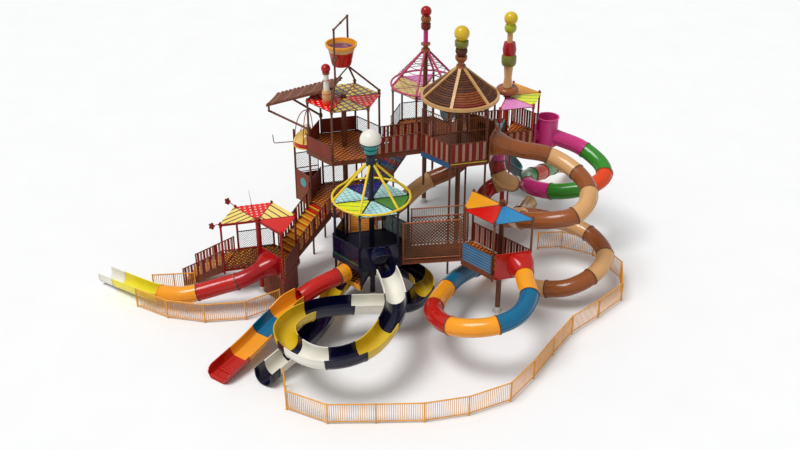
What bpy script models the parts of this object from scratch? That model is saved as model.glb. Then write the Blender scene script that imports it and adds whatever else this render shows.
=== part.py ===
"""Water slide tower: seven hexagonal play towers joined by stairs and bridges, with slides.

Metres, +Z up.  The origin is on the ground under the middle column of the navy tower.
X runs to the right along the long side of the plant, Y away from the front.
"""
import math

import bmesh
import bpy
from mathutils import Vector

for old in list(bpy.data.objects):
    bpy.data.objects.remove(old, do_unlink=True)

# Driving sizes shared by every tower
HEX_TURN = 14.0          # the whole plant stands on one triangular grid, turned by this
HEX_R = 1.85             # tower corner from its middle column
FENCE_H = 1.10           # fences and guards
TUBE_R = 0.435           # outside of a tube slide, 0.81 m clear inside
TUBE_WALL = 0.03
TUBE_SIDES = 10
COLUMN_R = 0.13
POST_R = 0.055
GAP = 0.0005             # left between neighbouring pieces
DECK_T = 0.06
DECK_BEAM = 0.06
ROOF_BEAM = 0.045
HALF = math.cos(math.radians(45.0))   # flat of a square bar from its corner radius
RIM_OUT = 0.13           # edge boards lie this far outside the corners
RIM_T = 0.05
POST_RISE = 0.16         # posts stand this far above the roof beams

# Towers: middle, deck heights, roof height
NAVY = (0.0, 0.0)
RED = (-5.66, 0.50)
LOW = (6.25, -1.35)
BUCKET = (-1.47, 4.55)
CONE = (4.39, 3.90)
PINK = (2.79, 10.0)
BACK = (7.15, 7.95)


def corner(middle, k, r=HEX_R):
    """Corner k of a tower's hexagon, counted anticlockwise from the right."""
    a = math.radians(HEX_TURN + 60.0 * k)
    return (middle[0] + r * math.cos(a), middle[1] + r * math.sin(a))


def side_mid(middle, k, r=HEX_R):
    """Middle of the side between corners k and k+1."""
    a = corner(middle, k, r)
    b = corner(middle, k + 1, r)
    return ((a[0] + b[0]) / 2, (a[1] + b[1]) / 2)


def side_way(k):
    """Outward direction of side k."""
    a = math.radians(HEX_TURN + 60.0 * k + 30.0)
    return (math.cos(a), math.sin(a))


def clear_of(middle, k, out=0.0):
    """Point just outside the edge board on side k of a deck."""
    reach = (HEX_R + RIM_OUT) * math.cos(math.radians(30.0)) + RIM_T / 2 + GAP + out
    way = side_way(k)
    return (middle[0] + way[0] * reach, middle[1] + way[1] * reach)


def leave(middle, k, z, drop=0.0, first=0.55, aside=0.0):
    """Two points that start a slide square to side k of a deck, `aside` from its middle."""
    a, b = clear_of(middle, k), clear_of(middle, k, first)
    way = side_way(k)
    x, y = -way[1] * aside, way[0] * aside
    return [(a[0] + x, a[1] + y, z), (b[0] + x, b[1] + y, z - drop)]


def solid(name, points, faces):
    mesh = bpy.data.meshes.new(name)
    mesh.from_pydata([tuple(p) for p in points], [], faces)
    work = bmesh.new()
    work.from_mesh(mesh)
    bmesh.ops.recalc_face_normals(work, faces=work.faces)
    work.to_mesh(mesh)
    work.free()
    thing = bpy.data.objects.new(name, mesh)
    bpy.context.scene.collection.objects.link(thing)
    return thing


def prism(outline, z0, z1):
    """Upright solid from a flat outline."""
    n = len(outline)
    points = [(x, y, z0) for x, y in outline]
    points += [(x, y, z1) for x, y in outline]
    faces = [tuple(range(n - 1, -1, -1)), tuple(range(n, 2 * n))]
    faces += [(i, (i + 1) % n, n + (i + 1) % n, n + i) for i in range(n)]
    return solid("prism", points, faces)


def circle(middle, r, sides, turn=0.0):
    out = []
    for i in range(sides):
        a = math.radians(turn) + 2 * math.pi * i / sides
        out.append((middle[0] + r * math.cos(a), middle[1] + r * math.sin(a)))
    return out


def bar(start, end, r, sides=6, r_end=None, turn=0.5):
    """Straight bar of few sides between two points."""
    a, b = Vector(start), Vector(end)
    way = (b - a).normalized()
    across = way.cross(Vector((0, 0, 1)))
    if across.length < 1e-6:
        across = Vector((1, 0, 0))
    across.normalize()
    up = across.cross(way)
    r_end = r if r_end is None else r_end
    points = []
    for base, size in ((a, r), (b, r_end)):
        for i in range(sides):
            t = 2 * math.pi * (i + turn) / sides
            points.append(base + across * (size * math.cos(t)) + up * (size * math.sin(t)))
    n = sides
    faces = [tuple(range(n - 1, -1, -1)), tuple(range(n, 2 * n))]
    faces += [(i, (i + 1) % n, n + (i + 1) % n, n + i) for i in range(n)]
    return solid("bar", points, faces)


def ball(middle, z, r, sides=10):
    """Plain ball of few faces."""
    points = [(middle[0], middle[1], z - r)]
    for i in range(1, 6):
        t = math.pi * i / 6
        points += [(x, y, z - r * math.cos(t)) for x, y in circle(middle, r * math.sin(t), sides)]
    points.append((middle[0], middle[1], z + r))
    faces = []
    for j in range(sides):
        faces.append((0, 1 + (j + 1) % sides, 1 + j))
    for i in range(4):
        for j in range(sides):
            a = 1 + i * sides
            faces.append((a + j, a + (j + 1) % sides, a + sides + (j + 1) % sides, a + sides + j))
    a = 1 + 4 * sides
    for j in range(sides):
        faces.append((a + j, a + (j + 1) % sides, len(points) - 1))
    return solid("ball", points, faces)


def panel(start, end, low, high, thick, low_end=None, high_end=None):
    """Upright plate between two plan points; its heights may differ at the two ends."""
    low_end = low if low_end is None else low_end
    high_end = high if high_end is None else high_end
    a, b = Vector(start), Vector(end)
    way = (b - a).normalized()
    side = Vector((-way.y, way.x)) * (thick / 2)
    plan = [a + side, b + side, b - side, a - side]
    lows = [low, low_end, low_end, low]
    highs = [high, high_end, high_end, high]
    points = [(p.x, p.y, z) for p, z in zip(plan, lows)]
    points += [(p.x, p.y, z) for p, z in zip(plan, highs)]
    faces = [(3, 2, 1, 0), (4, 5, 6, 7), (0, 1, 5, 4), (1, 2, 6, 5), (2, 3, 7, 6), (3, 0, 4, 7)]
    return solid("panel", points, faces)


def smooth_path(points, step):
    """Even points along a smooth curve through the given ones."""
    pts = [Vector(p) for p in points]
    pts = [pts[0] * 2 - pts[1]] + pts + [pts[-1] * 2 - pts[-2]]
    fine = []
    for i in range(1, len(pts) - 2):
        p0, p1, p2, p3 = pts[i - 1], pts[i], pts[i + 1], pts[i + 2]
        for j in range(24):
            t = j / 24
            fine.append(0.5 * (p1 * 2 + (p2 - p0) * t + (p0 * 2 - p1 * 5 + p2 * 4 - p3) * t * t
                               + (p1 * 3 - p0 - p2 * 3 + p3) * t ** 3))
    fine.append(pts[-2])
    lengths = [0.0]
    for a, b in zip(fine, fine[1:]):
        lengths.append(lengths[-1] + (b - a).length)
    count = max(2, round(lengths[-1] / step))
    out = []
    j = 0
    for i in range(count + 1):
        want = lengths[-1] * i / count
        while j < len(fine) - 2 and lengths[j + 1] < want:
            j += 1
        part = (want - lengths[j]) / max(lengths[j + 1] - lengths[j], 1e-9)
        out.append(fine[j].lerp(fine[j + 1], min(max(part, 0.0), 1.0)))
    return out


def frames_along(points, step):
    """Position, sideways and up directions along a path; both ends stand upright and square."""
    path = smooth_path(points, step)
    first = Vector(points[1]) - Vector(points[0])
    last = Vector(points[-1]) - Vector(points[-2])
    out = []
    for i, p in enumerate(path):
        way = path[min(i + 1, len(path) - 1)] - path[max(i - 1, 0)]
        if i == 0:
            way = Vector((first.x, first.y, 0.0))
        if i == len(path) - 1:
            way = Vector((last.x, last.y, 0.0))
        way.normalize()
        across = way.cross(Vector((0, 0, 1))).normalized()
        out.append((p, across, across.cross(way)))
    return out


def sweep(name, points, section, step, spread=((0.0, 1.0, 1.0), (1.0, 1.0, 1.0)), stretch=None):
    """Solid swept from a closed section (sideways, up) along a smooth path.

    spread lists (share of the path, width factor, factor on the walls' height);
    stretch takes only that many of the path's stations."""
    n = len(section)
    verts = []
    rings = frames_along(points, step)[:stretch]
    for k, (p, across, up) in enumerate(rings):
        share = k / (len(rings) - 1)
        for low, high in zip(spread, spread[1:]):
            if low[0] <= share <= high[0]:
                t = (share - low[0]) / (high[0] - low[0])
                wide = low[1] + (high[1] - low[1]) * t
                tall = low[2] + (high[2] - low[2]) * t
        verts += [p + across * (s * wide) + up * (u * tall if u > 0.1 else u) for s, u in section]
    faces = []
    for r in range(len(rings) - 1):
        for i in range(n):
            j = (i + 1) % n
            faces.append((r * n + i, r * n + j, (r + 1) * n + j, (r + 1) * n + i))
    last = (len(rings) - 1) * n
    half = n // 2
    for i in range(half - 1):
        faces.append((i, i + 1, n - 2 - i, n - 1 - i))
        faces.append((last + i + 1, last + i, last + n - 1 - i, last + n - 2 - i))
    return solid(name, verts, faces)


def tube(name, points, step=0.85, r=TUBE_R):
    """Hollow tube slide, open at both ends."""
    rings = frames_along(points, step)
    n = TUBE_SIDES
    verts = []
    for size in (r, r - TUBE_WALL):
        for p, across, up in rings:
            for i in range(n):
                t = 2 * math.pi * i / n
                verts.append(p + across * (size * math.cos(t)) + up * (size * math.sin(t)))
    m = len(rings) * n
    faces = []
    for k in range(len(rings) - 1):
        for i in range(n):
            j = (i + 1) % n
            a, b = k * n, (k + 1) * n
            faces.append((a + i, a + j, b + j, b + i))
            faces.append((m + a + j, m + a + i, m + b + i, m + b + j))
    for a in (0, (len(rings) - 1) * n):
        for i in range(n):
            j = (i + 1) % n
            faces.append((a + i, a + j, m + a + j, m + a + i))
    return solid(name, verts, faces)


def entry_tube(name, points, middle, k, deck, step=0.85, width=1.72, high=1.15):
    """Tube slide with the upright plate that it leaves the deck through, one body."""
    slide = tube("run", points, step)
    way = side_way(k)
    at = clear_of(middle, k, 0.03)
    half_way = Vector((-way[1], way[0])) * (width / 2)
    a = Vector(at) - half_way
    b = Vector(at) + half_way
    plate = panel(a, b, deck - 0.20, deck + high, 0.06)
    z = points[0][2]
    out = Vector((way[0], way[1], 0.0)) * 0.4
    mouth = Vector((points[0][0], points[0][1], z)) + out * 0.075
    plate = cut(plate, bar(mouth - out, mouth + out, TUBE_R - TUBE_WALL / 2, TUBE_SIDES, None, 0.0))
    return join_all(name, [plate, slide])


def flume_section(r=0.46, wall=0.05, rise=0.22):
    """Open trough: inside then outside, so ends can be closed strip by strip."""
    inner = []
    outer = []
    for i in range(6):
        t = math.radians(180.0 + 36.0 * i)
        inner.append((r * math.cos(t), r * math.sin(t) + r))
        outer.append(((r + wall) * math.cos(t), (r + wall) * math.sin(t) + r))
    inner = [(-r, r + rise)] + inner + [(r, r + rise)]
    outer = [(-r - wall, r + rise)] + outer + [(r + wall, r + rise)]
    return inner + outer[::-1]


def lane_section(half=0.405, deep=0.42, wall=0.04):
    """Flat-bottomed open trough, inside then outside."""
    inner = [(-half, deep), (-half, 0.20), (-half * 0.80, 0.05), (-half * 0.45, 0.0)]
    outer = [(-half - wall, deep), (-half - wall, 0.18), (-half * 0.80 - wall, 0.05 - wall), (-half * 0.45, -wall)]
    inner += [(-s, u) for s, u in inner[::-1]]
    outer += [(-s, u) for s, u in outer[::-1]]
    return inner + outer[::-1]


def arch_section(half=0.49, base=0.68, rise=0.31, wall=0.04, steps=8):
    """Arched hood standing on the rims of a flume, inside then outside."""
    inner = []
    outer = []
    for i in range(steps + 1):
        t = math.pi - math.pi * i / steps
        inner.append((half * math.cos(t), base + GAP + rise * math.sin(t)))
        outer.append(((half + wall) * math.cos(t), base + GAP + (rise + wall) * math.sin(t)))
    return inner + outer[::-1]


def join_all(name, parts):
    """One closed body from overlapping parts."""
    base = parts[0]
    for part in parts[1:]:
        change = base.modifiers.new("join", "BOOLEAN")
        change.operation = "UNION"
        change.solver = "EXACT"
        change.object = part
        graph = bpy.context.evaluated_depsgraph_get()
        made = bpy.data.meshes.new_from_object(base.evaluated_get(graph))
        base.modifiers.clear()
        base.data = made
        bpy.data.objects.remove(part, do_unlink=True)
    base.name = name
    base.data.name = name
    tidy(base)
    return base


def cut(base, cutter):
    change = base.modifiers.new("cut", "BOOLEAN")
    change.operation = "DIFFERENCE"
    change.solver = "EXACT"
    change.object = cutter
    graph = bpy.context.evaluated_depsgraph_get()
    made = bpy.data.meshes.new_from_object(base.evaluated_get(graph))
    base.modifiers.clear()
    base.data = made
    bpy.data.objects.remove(cutter, do_unlink=True)
    return base


def tidy(thing):
    """Weld doubled points and drop slivers left by joining."""
    work = bmesh.new()
    work.from_mesh(thing.data)
    bmesh.ops.remove_doubles(work, verts=work.verts, dist=1e-5)
    bmesh.ops.dissolve_limit(work, angle_limit=math.radians(0.05), verts=work.verts, edges=work.edges)
    bmesh.ops.triangulate(work, faces=work.faces)
    bmesh.ops.recalc_face_normals(work, faces=work.faces)
    work.to_mesh(thing.data)
    work.free()


def tower_frame(name, middle, foot, post_low, decks, roof, corners, top, long_posts=()):
    """Middle column, corner posts, deck and roof beams, as one welded frame."""
    parts = [prism(circle(middle, COLUMN_R, 8, 5.0), foot, top)]
    parts.append(prism(circle(middle, 0.26, 8, 11.0), foot, foot + 0.04))
    for k in corners:
        x, y = corner(middle, k)
        low = foot if k in long_posts else post_low
        parts.append(prism(circle((x, y), POST_R, 6, 7.0 + k), low, roof + POST_RISE))
        for deck in decks:
            z = deck - DECK_T - GAP - DECK_BEAM * HALF
            parts.append(bar((middle[0], middle[1], z), (x, y, z), DECK_BEAM, 4))
        z = roof - ROOF_BEAM * HALF
        parts.append(bar((middle[0], middle[1], z), (x, y, z), ROOF_BEAM, 4))
    return join_all(name, parts)


def deck_plate(name, middle, z, first, count, guards=(), inner=(), height=FENCE_H, mouth=None):
    """Deck with its edge boards and the guard panels that stand on them, one body.

    It covers `count` of the six sectors, starting at side `first`; `guards` are the sides
    with a panel and `inner` the corners joined to the middle by a panel. `mouth` gives a side
    whose panel has a round opening: (side, height of its middle above the deck, radius).
    """
    floor_r = HEX_R + 0.12
    rim = HEX_R + RIM_OUT
    if count == 6:
        outline = [corner(middle, k, floor_r) for k in range(6)]
    else:
        outline = [middle] + [corner(middle, first + i, floor_r) for i in range(count + 1)]
    parts = [prism(outline, z - DECK_T, z)]
    for i in range(count):
        k = (first + i) % 6
        a = Vector(corner(middle, k, rim))
        b = Vector(corner(middle, k + 1, rim))
        over = (b - a).normalized() * 0.02
        high = z + height if k in guards else z + 0.03
        parts.append(panel(a - over, b + over, z - 0.22, high, RIM_T))
    for k in inner:
        a, b = Vector(middle), Vector(corner(middle, k, rim))
        parts.append(panel(a, b, z - 0.04, z + height - 0.01, 0.045))
    plate = join_all(name, parts)
    plate = cut(plate, prism(circle(middle, COLUMN_R + 0.02, 8, 5.0), z - 1.0, z + 2.0))
    for k in range(6):
        hole = prism(circle(corner(middle, k), POST_R + 0.012, 6, 7.0 + k), z - 1.0, z + 2.0)
        plate = cut(plate, hole)
    if mouth:
        k, lift, r = mouth
        way = Vector(side_way(k))
        near = Vector(middle) + way * 1.4
        far = Vector(middle) + way * 2.1
        plate = cut(plate, bar((near.x, near.y, z + lift), (far.x, far.y, z + lift), r, TUBE_SIDES, None, 0.0))
    tidy(plate)
    return plate


def roof_fan(name, middle, z, first, count, corners=range(6), r=HEX_R + 0.12):
    """Flat roof panels lying on the roof beams."""
    outline = [corner(middle, first + i, r) for i in range(count + (count < 6))]
    if count < 6:
        outline = [middle] + outline
    plate = prism(outline, z + GAP, z + 0.035)
    plate = cut(plate, prism(circle(middle, COLUMN_R + 0.015, 8, 5.0), z - 1.0, z + 1.0))
    for k in corners:
        plate = cut(plate, prism(circle(corner(middle, k), POST_R + 0.012, 6, 7.0 + k), z - 1, z + 1))
    plate.name = name
    tidy(plate)
    return plate


def rib_cone(name, middle, z, r, apex, hub_r=0.25, skin=False, ribs=6, rib_r=0.05):
    """Ring, ribs and hub of a pointed roof; with a skin it is a closed slatted cone."""
    sides = 18
    ring = []
    for size, lift in ((r, 0.0), (r, 0.10), (r - 0.08, 0.10), (r - 0.08, 0.0)):
        ring += [(x, y, z + lift) for x, y in circle(middle, size, sides, HEX_TURN)]
    faces = []
    for q in range(4):
        for i in range(sides):
            j = (i + 1) % sides
            p = (q + 1) % 4
            faces.append((q * sides + i, q * sides + j, p * sides + j, p * sides + i))
    parts = [solid("ring", ring, faces)]
    hub = prism(circle(middle, hub_r, 10, 3.0), apex - 0.28, apex)
    parts.append(hub)
    for k in range(ribs):
        x, y = corner(middle, k, r - 0.03)
        parts.append(bar((x, y, z + 0.05), (middle[0], middle[1], apex - 0.12), rib_r, 4))
    if skin:
        low = circle(middle, r - 0.02, sides, HEX_TURN)
        inner = circle(middle, r - 0.07, sides, HEX_TURN)
        high = circle(middle, 0.16, sides, HEX_TURN)
        high_in = circle(middle, 0.14, sides, HEX_TURN)
        shell = [(x, y, z + 0.06) for x, y in low] + [(x, y, apex - 0.10) for x, y in high]
        shell += [(x, y, apex - 0.13) for x, y in high_in] + [(x, y, z + 0.06) for x, y in inner]
        faces = []
        for q in range(4):
            for i in range(sides):
                j = (i + 1) % sides
                p = (q + 1) % 4
                faces.append((q * sides + i, q * sides + j, p * sides + j, p * sides + i))
        parts.append(solid("skin", shell, faces))
    cone = join_all(name, parts)
    cone = cut(cone, prism(circle(middle, COLUMN_R + 0.015, 8, 5.0), z - 1, apex - 0.20))
    tidy(cone)
    return cone


# Towers
NAVY_LOW, NAVY_DECK, NAVY_ROOF = 1.80, 2.85, 5.60
RED_DECK, RED_ROOF = 1.60, 4.15
LOW_DECK, LOW_ROOF = 3.30, 6.05
BUCKET_LOW, BUCKET_DECK, BUCKET_ROOF = 3.30, 6.30, 9.00
CONE_DECK, CONE_ROOF, CONE_APEX = 6.50, 9.20, 11.00
PINK_DECK, PINK_ROOF, PINK_APEX = 4.60, 7.30, 9.55
BACK_DECK, BACK_ROOF = 5.20, 7.60

tower_frame("navy_tower_frame", NAVY, 0.0, 1.55, (NAVY_LOW, NAVY_DECK), NAVY_ROOF, range(6), 7.45)
deck_plate("navy_lower_deck", NAVY, NAVY_LOW, 2, 2)
deck_plate("navy_deck", NAVY, NAVY_DECK, 0, 6, (0, 2, 3, 4), mouth=(4, 0.56, 0.46))
roof_fan("navy_roof_panes", NAVY, NAVY_ROOF, 0, 6)
rib_cone("navy_roof_ribs", NAVY, NAVY_ROOF + POST_RISE + GAP, 1.94, 7.75)

tower_frame("red_tower_frame", RED, 0.0, 1.30, (RED_DECK,), RED_ROOF, (5, 0, 1, 2, 3), 4.30, (1,))
deck_plate("red_deck", RED, RED_DECK, 5, 4, (5, 1), (3,))
roof_fan("red_roof", RED, RED_ROOF, 5, 4)

tower_frame("low_tower_frame", LOW, 0.0, 2.90, (LOW_DECK,), LOW_ROOF, (2, 3, 4, 5), 6.30)
deck_plate("low_deck", LOW, LOW_DECK, 2, 3, (3,), (2, 5))
roof_fan("low_roof", LOW, LOW_ROOF, 2, 3)

tower_frame("bucket_tower_frame", BUCKET, 0.0, 2.90, (BUCKET_LOW, BUCKET_DECK), BUCKET_ROOF,
            range(6), 9.20, (2, 3, 4))
deck_plate("bucket_lower_deck", BUCKET, BUCKET_LOW, 0, 6, (1, 2, 5))
deck_plate("bucket_upper_deck", BUCKET, BUCKET_DECK, 0, 6, (0, 1, 2, 3), (), 0.85)
roof_fan("bucket_roof", BUCKET, BUCKET_ROOF, 0, 6)

tower_frame("cone_tower_frame", CONE, 0.0, 4.60, (CONE_DECK,), CONE_ROOF, range(6), 10.80, (1, 4))
deck_plate("cone_deck", CONE, CONE_DECK, 0, 6, (3, 4))
rib_cone("cone_roof", CONE, CONE_ROOF + POST_RISE + GAP, 1.94, 11.05, 0.25, True)

tower_frame("pink_tower_frame", PINK, 0.0, 4.20, (PINK_DECK,), PINK_ROOF, range(6), 9.25, (1, 3))
deck_plate("pink_deck", PINK, PINK_DECK, 0, 6, (1, 2))
roof_fan("pink_roof_panes", PINK, PINK_ROOF, 1, 4)
rib_cone("pink_roof_ribs", PINK, PINK_ROOF + POST_RISE + GAP, 1.94, PINK_APEX)

tower_frame("back_tower_frame", BACK, 0.0, 4.80, (BACK_DECK,), BACK_ROOF, (4, 5, 0, 1), 7.80, (1,))
deck_plate("back_deck", BACK, BACK_DECK, 4, 3, (4, 0))
roof_fan("back_roof", BACK, BACK_ROOF, 4, 3)


# Slides
NAVY_FLUME = leave(NAVY, 4, 2.90) + [
    (1.0, -3.6, 2.66), (1.2, -5.3, 2.50), (0.8, -6.8, 2.38), (0.1, -8.0, 2.28), (-0.8, -8.6, 2.20),
    (-1.8, -8.7, 2.12), (-2.7, -8.3, 2.04), (-3.5, -7.4, 1.95), (-3.8, -6.3, 1.87), (-3.5, -5.3, 1.79),
    (-2.8, -4.5, 1.71), (-1.7, -3.9, 1.60), (0.0, -3.5, 1.44), (1.1, -3.3, 1.32), (2.0, -2.9, 1.20),
    (2.55, -1.7, 1.08), (2.4, -0.4, 0.98), (1.4, 0.7, 0.90), (0.0, 0.9, 0.78), (-1.2, 0.2, 0.68),
    (-1.9, -1.3, 0.60), (-2.4, -3.6, 0.45), (-3.4, -5.4, 0.28), (-4.35, -6.70, 0.13), (-4.80, -7.30, 0.055)]
sweep("navy_flume", NAVY_FLUME, flume_section(), 0.62)
sweep("navy_entry_hood", NAVY_FLUME, arch_section(), 0.62, stretch=2)

ORANGE_TUBE = leave(NAVY, 3, 2.22) + [(-2.55, -2.12, 2.04), (-3.45, -2.72, 1.70)]
tube("orange_lane_tube", ORANGE_TUBE, 0.6)
end = Vector(ORANGE_TUBE[-1])
way = end - Vector(ORANGE_TUBE[-2])
way = Vector((way.x, way.y, 0.0)).normalized()
floor = Vector((end.x, end.y, end.z - TUBE_R + TUBE_WALL))
LANE_SPREAD = ((0.0, 1.0, 1.75), (0.10, 1.2, 1.6), (0.24, 1.42, 1.0), (1.0, 1.48, 1.0))
ORANGE_LANE = [tuple(floor + way * GAP), tuple(floor + way * 0.5 - Vector((0, 0, 0.14))),
               (-4.6, -3.75, 0.84), (-5.6, -5.15, 0.42), (-6.95, -7.0, 0.055)]
sweep("orange_lane", ORANGE_LANE, lane_section(), 0.55, LANE_SPREAD)


def spoke_entry(middle, k, deck, mouth_z):
    """Plate with a mouth on the spoke from a column to corner k, and the slide's first two points."""
    line = (Vector(corner(middle, k)) - Vector(middle)).normalized()
    free = Vector((line.y, -line.x))
    spot = Vector(corner(middle, k, 0.95)) + free * (0.025 + GAP)
    plate = panel(spot - line * 0.74, spot + line * 0.80, deck - 0.04, deck + 1.10, 0.05)
    mouth = Vector((spot.x, spot.y, mouth_z))
    out = Vector((free.x, free.y, 0.0)) * 0.4
    plate = cut(plate, bar(mouth - out, mouth + out, TUBE_R - TUBE_WALL / 2, TUBE_SIDES, None, 0.0))
    start = mouth - out * 0.05
    return plate, [tuple(start), tuple(start + out)]


plate, first_points = spoke_entry(RED, 5, RED_DECK, RED_DECK + 0.46)
RED_SLIDE = first_points + [(-6.3, -1.10, 1.76), (-7.5, -1.20, 1.40),
             (-8.6, -1.30, 1.10), (-9.5, -1.28, 0.92), (-10.6, -0.86, 0.76)]
join_all("red_slide", [plate, tube("run", RED_SLIDE)])
end = Vector(RED_SLIDE[-1])
way = end - Vector(RED_SLIDE[-2])
way = Vector((way.x, way.y, 0.0)).normalized()
floor = Vector((end.x, end.y, end.z - TUBE_R + TUBE_WALL))
RED_RUNOUT = [tuple(floor + way * GAP), tuple(floor + way * 0.55 - Vector((0, 0, 0.02))),
              (-12.2, 0.10, 0.24), (-13.9, 1.40, 0.055)]
sweep("red_slide_runout", RED_RUNOUT, flume_section(TUBE_R - TUBE_WALL), 0.8)

LOW_TUBE = leave(LOW, 4, 3.76, 0.0, 0.55, 0.35) + [
    (7.20, -4.25, 3.58), (7.28, -5.1, 3.40), (6.75, -6.2, 3.18), (5.8, -6.8, 3.02), (4.75, -6.85, 2.86),
    (3.85, -6.5, 2.68), (3.25, -5.8, 2.50), (2.95, -4.8, 2.32), (3.10, -3.7, 2.14), (3.55, -2.5, 2.00),
    (4.10, -1.3, 1.86), (4.85, -0.1, 1.60), (5.5, 0.9, 1.20), (6.1, 1.6, 0.85), (6.8, 2.2, 0.60)]
entry_tube("low_tube_slide", LOW_TUBE, LOW, 4, LOW_DECK)

CONE_TUBE = leave(CONE, 5, 6.96) + [
    (7.6, 3.2, 6.72), (8.9, 3.3, 6.40), (10.1, 2.5, 5.98), (10.7, 1.3, 5.60), (10.5, 0.2, 5.25),
    (9.8, -0.45, 4.95), (8.8, -0.45, 4.72), (7.8, 0.1, 4.38), (7.2, 1.2, 3.85), (7.4, 2.4, 3.35),
    (8.3, 3.1, 2.92), (9.4, 3.2, 2.65), (10.5, 2.9, 2.45), (11.4, 2.1, 2.24), (11.8, 0.8, 1.95),
    (11.1, -0.4, 1.60), (9.8, -1.0, 1.20), (8.5, -0.6, 0.85), (7.7, 0.1, 0.62)]
entry_tube("cone_tube_slide", CONE_TUBE, CONE, 5, CONE_DECK)

PINK_TUBE = leave(BACK, 5, 5.68) + [
    (9.9, 7.2, 5.50), (11.2, 6.9, 5.05), (12.1, 5.9, 4.62), (12.2, 5.0, 4.30), (11.5, 4.5, 4.00),
    (10.4, 4.5, 3.70), (9.3, 5.0, 3.40), (8.45, 6.1, 3.12), (8.4, 7.7, 2.78), (9.4, 9.2, 2.35),
    (10.4, 11.0, 1.80), (11.1, 12.3, 1.20), (11.6, 13.1, 0.75)]
entry_tube("pink_tube_slide", PINK_TUBE, BACK, 5, BACK_DECK, 0.85, 1.72, 1.30)

SPIRAL_TUBE = leave(CONE, 0, 6.96, 0.03, 0.35) + [
    (6.30, 5.52, 6.45), (6.52, 5.44, 5.70), (6.52, 5.22, 4.85), (6.75, 4.95, 4.25), (7.25, 5.0, 3.90),
    (7.5, 5.6, 3.55), (7.1, 6.3, 3.20), (6.35, 6.4, 2.86), (5.85, 5.8, 2.50), (6.05, 5.1, 2.15),
    (6.8, 4.8, 1.82), (7.6, 5.3, 1.50), (8.0, 6.5, 1.15), (8.4, 7.8, 0.78), (8.85, 8.75, 0.62)]
entry_tube("spiral_tube_slide", SPIRAL_TUBE, CONE, 0, CONE_DECK, 0.55)

plate, first_points = spoke_entry(BACK, 4, BACK_DECK, BACK_DECK + 0.46)
MIDDLE_TUBE = first_points + [
    (5.75, 7.20, 5.28), (5.15, 6.85, 4.72), (4.55, 6.52, 4.22), (3.9, 6.32, 3.82), (3.0, 6.15, 3.47),
    (2.2, 5.6, 3.15), (1.4, 4.8, 2.75), (0.6, 4.6, 2.35), (-0.2, 5.2, 1.95), (-0.5, 6.4, 1.50),
    (-0.6, 7.8, 1.00), (-0.7, 9.0, 0.66)]
join_all("middle_tube_slide", [plate, tube("run", MIDDLE_TUBE)])

GREY_LANE = leave(PINK, 0, 4.65) + [
    (5.4, 11.75, 3.85), (6.6, 11.4, 2.75), (7.8, 10.95, 1.60), (8.6, 11.1, 0.85), (9.2, 11.9, 0.055)]
sweep("grey_lane", GREY_LANE, flume_section(), 1.0)


# Stairs and bridges
def stair(name, low, high, z_low, z_high, width, steps, wall):
    """Flight of steps with a solid side wall each side, one body."""
    a, b = Vector(low), Vector(high)
    way = (b - a).normalized()
    side = Vector((-way.y, way.x))
    run = (b - a).length / steps
    rise = (z_high - z_low) / steps
    outline = []
    for i in range(steps):
        outline.append((i * run, z_low + (i + 1) * rise - 0.02))
        outline.append(((i + 1) * run, z_low + (i + 1) * rise - 0.02))
    top = len(outline)
    outline.append((steps * run, z_high - 0.30))
    outline.append((run, max(z_low - 0.10, 0.002)))
    outline.append((0.0, max(z_low - 0.10, 0.002)))
    n = len(outline)
    points = []
    for s in (-width / 2, width / 2):
        for d, z in outline:
            q = a + way * d + side * s
            points.append((q.x, q.y, z))
    faces = [tuple(range(n - 1, -1, -1)), tuple(range(n, 2 * n))]
    faces += [(i, (i + 1) % n, n + (i + 1) % n, n + i) for i in range(n)]
    parts = [solid("steps", points, faces)]
    for s in (-1, 1):
        p = a + side * (s * (width / 2)) + way * 0.01
        q = b + side * (s * (width / 2)) - way * 0.01
        foot = max(z_low - 0.10, 0.002)
        parts.append(panel(p, q, foot, z_low + wall, 0.06, z_high - 0.32, z_high + wall))
    return join_all(name, parts)


entry_top = clear_of(RED, 2)
way = side_way(2)
entry_low = (entry_top[0] + way[0] * 2.3, entry_top[1] + way[1] * 2.3)
stair("entry_stair", entry_low, entry_top, 0.15, RED_DECK, 1.5, 7, 0.95)
stair_low = Vector(clear_of(RED, 0))
way = Vector(side_way(0))
stair_high = stair_low + way * (Vector(clear_of(BUCKET, 3)) - stair_low).dot(way)
stair("long_stair", stair_low, stair_high, RED_DECK, BUCKET_LOW, 1.5, 9, 0.95)


def bridge(name, start, way_a, end, way_b, z0, z1, width, height, thick=0.05):
    """Walkway with a railing panel each side, its ends square to the decks it joins."""
    a, b = Vector(start), Vector(end)
    side_a = Vector((-way_a[1], way_a[0])) * (width / 2)
    side_b = Vector((way_b[1], -way_b[0])) * (width / 2)
    edges = (a + side_a, b + side_b, b - side_b, a - side_a)
    points = []
    for lift in (-0.12, 0.0):
        points += [(p.x, p.y, z + lift) for p, z in zip(edges, (z0, z1, z1, z0))]
    faces = [(3, 2, 1, 0), (4, 5, 6, 7), (0, 1, 5, 4), (1, 2, 6, 5), (2, 3, 7, 6), (3, 0, 4, 7)]
    parts = [solid("walk", points, faces)]
    for p, q in ((edges[0], edges[1]), (edges[3], edges[2])):
        inset = (q - p).normalized() * 0.03
        parts.append(panel(p + inset, q - inset, z0 - 0.20, z0 + height, thick, z1 - 0.20, z1 + height))
    return join_all(name, parts)


def bridge_between(name, tower, k, other, k_other, z0, z1, width, height):
    return bridge(name, clear_of(tower, k), side_way(k), clear_of(other, k_other), side_way(k_other),
                  z0, z1, width, height)


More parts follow.
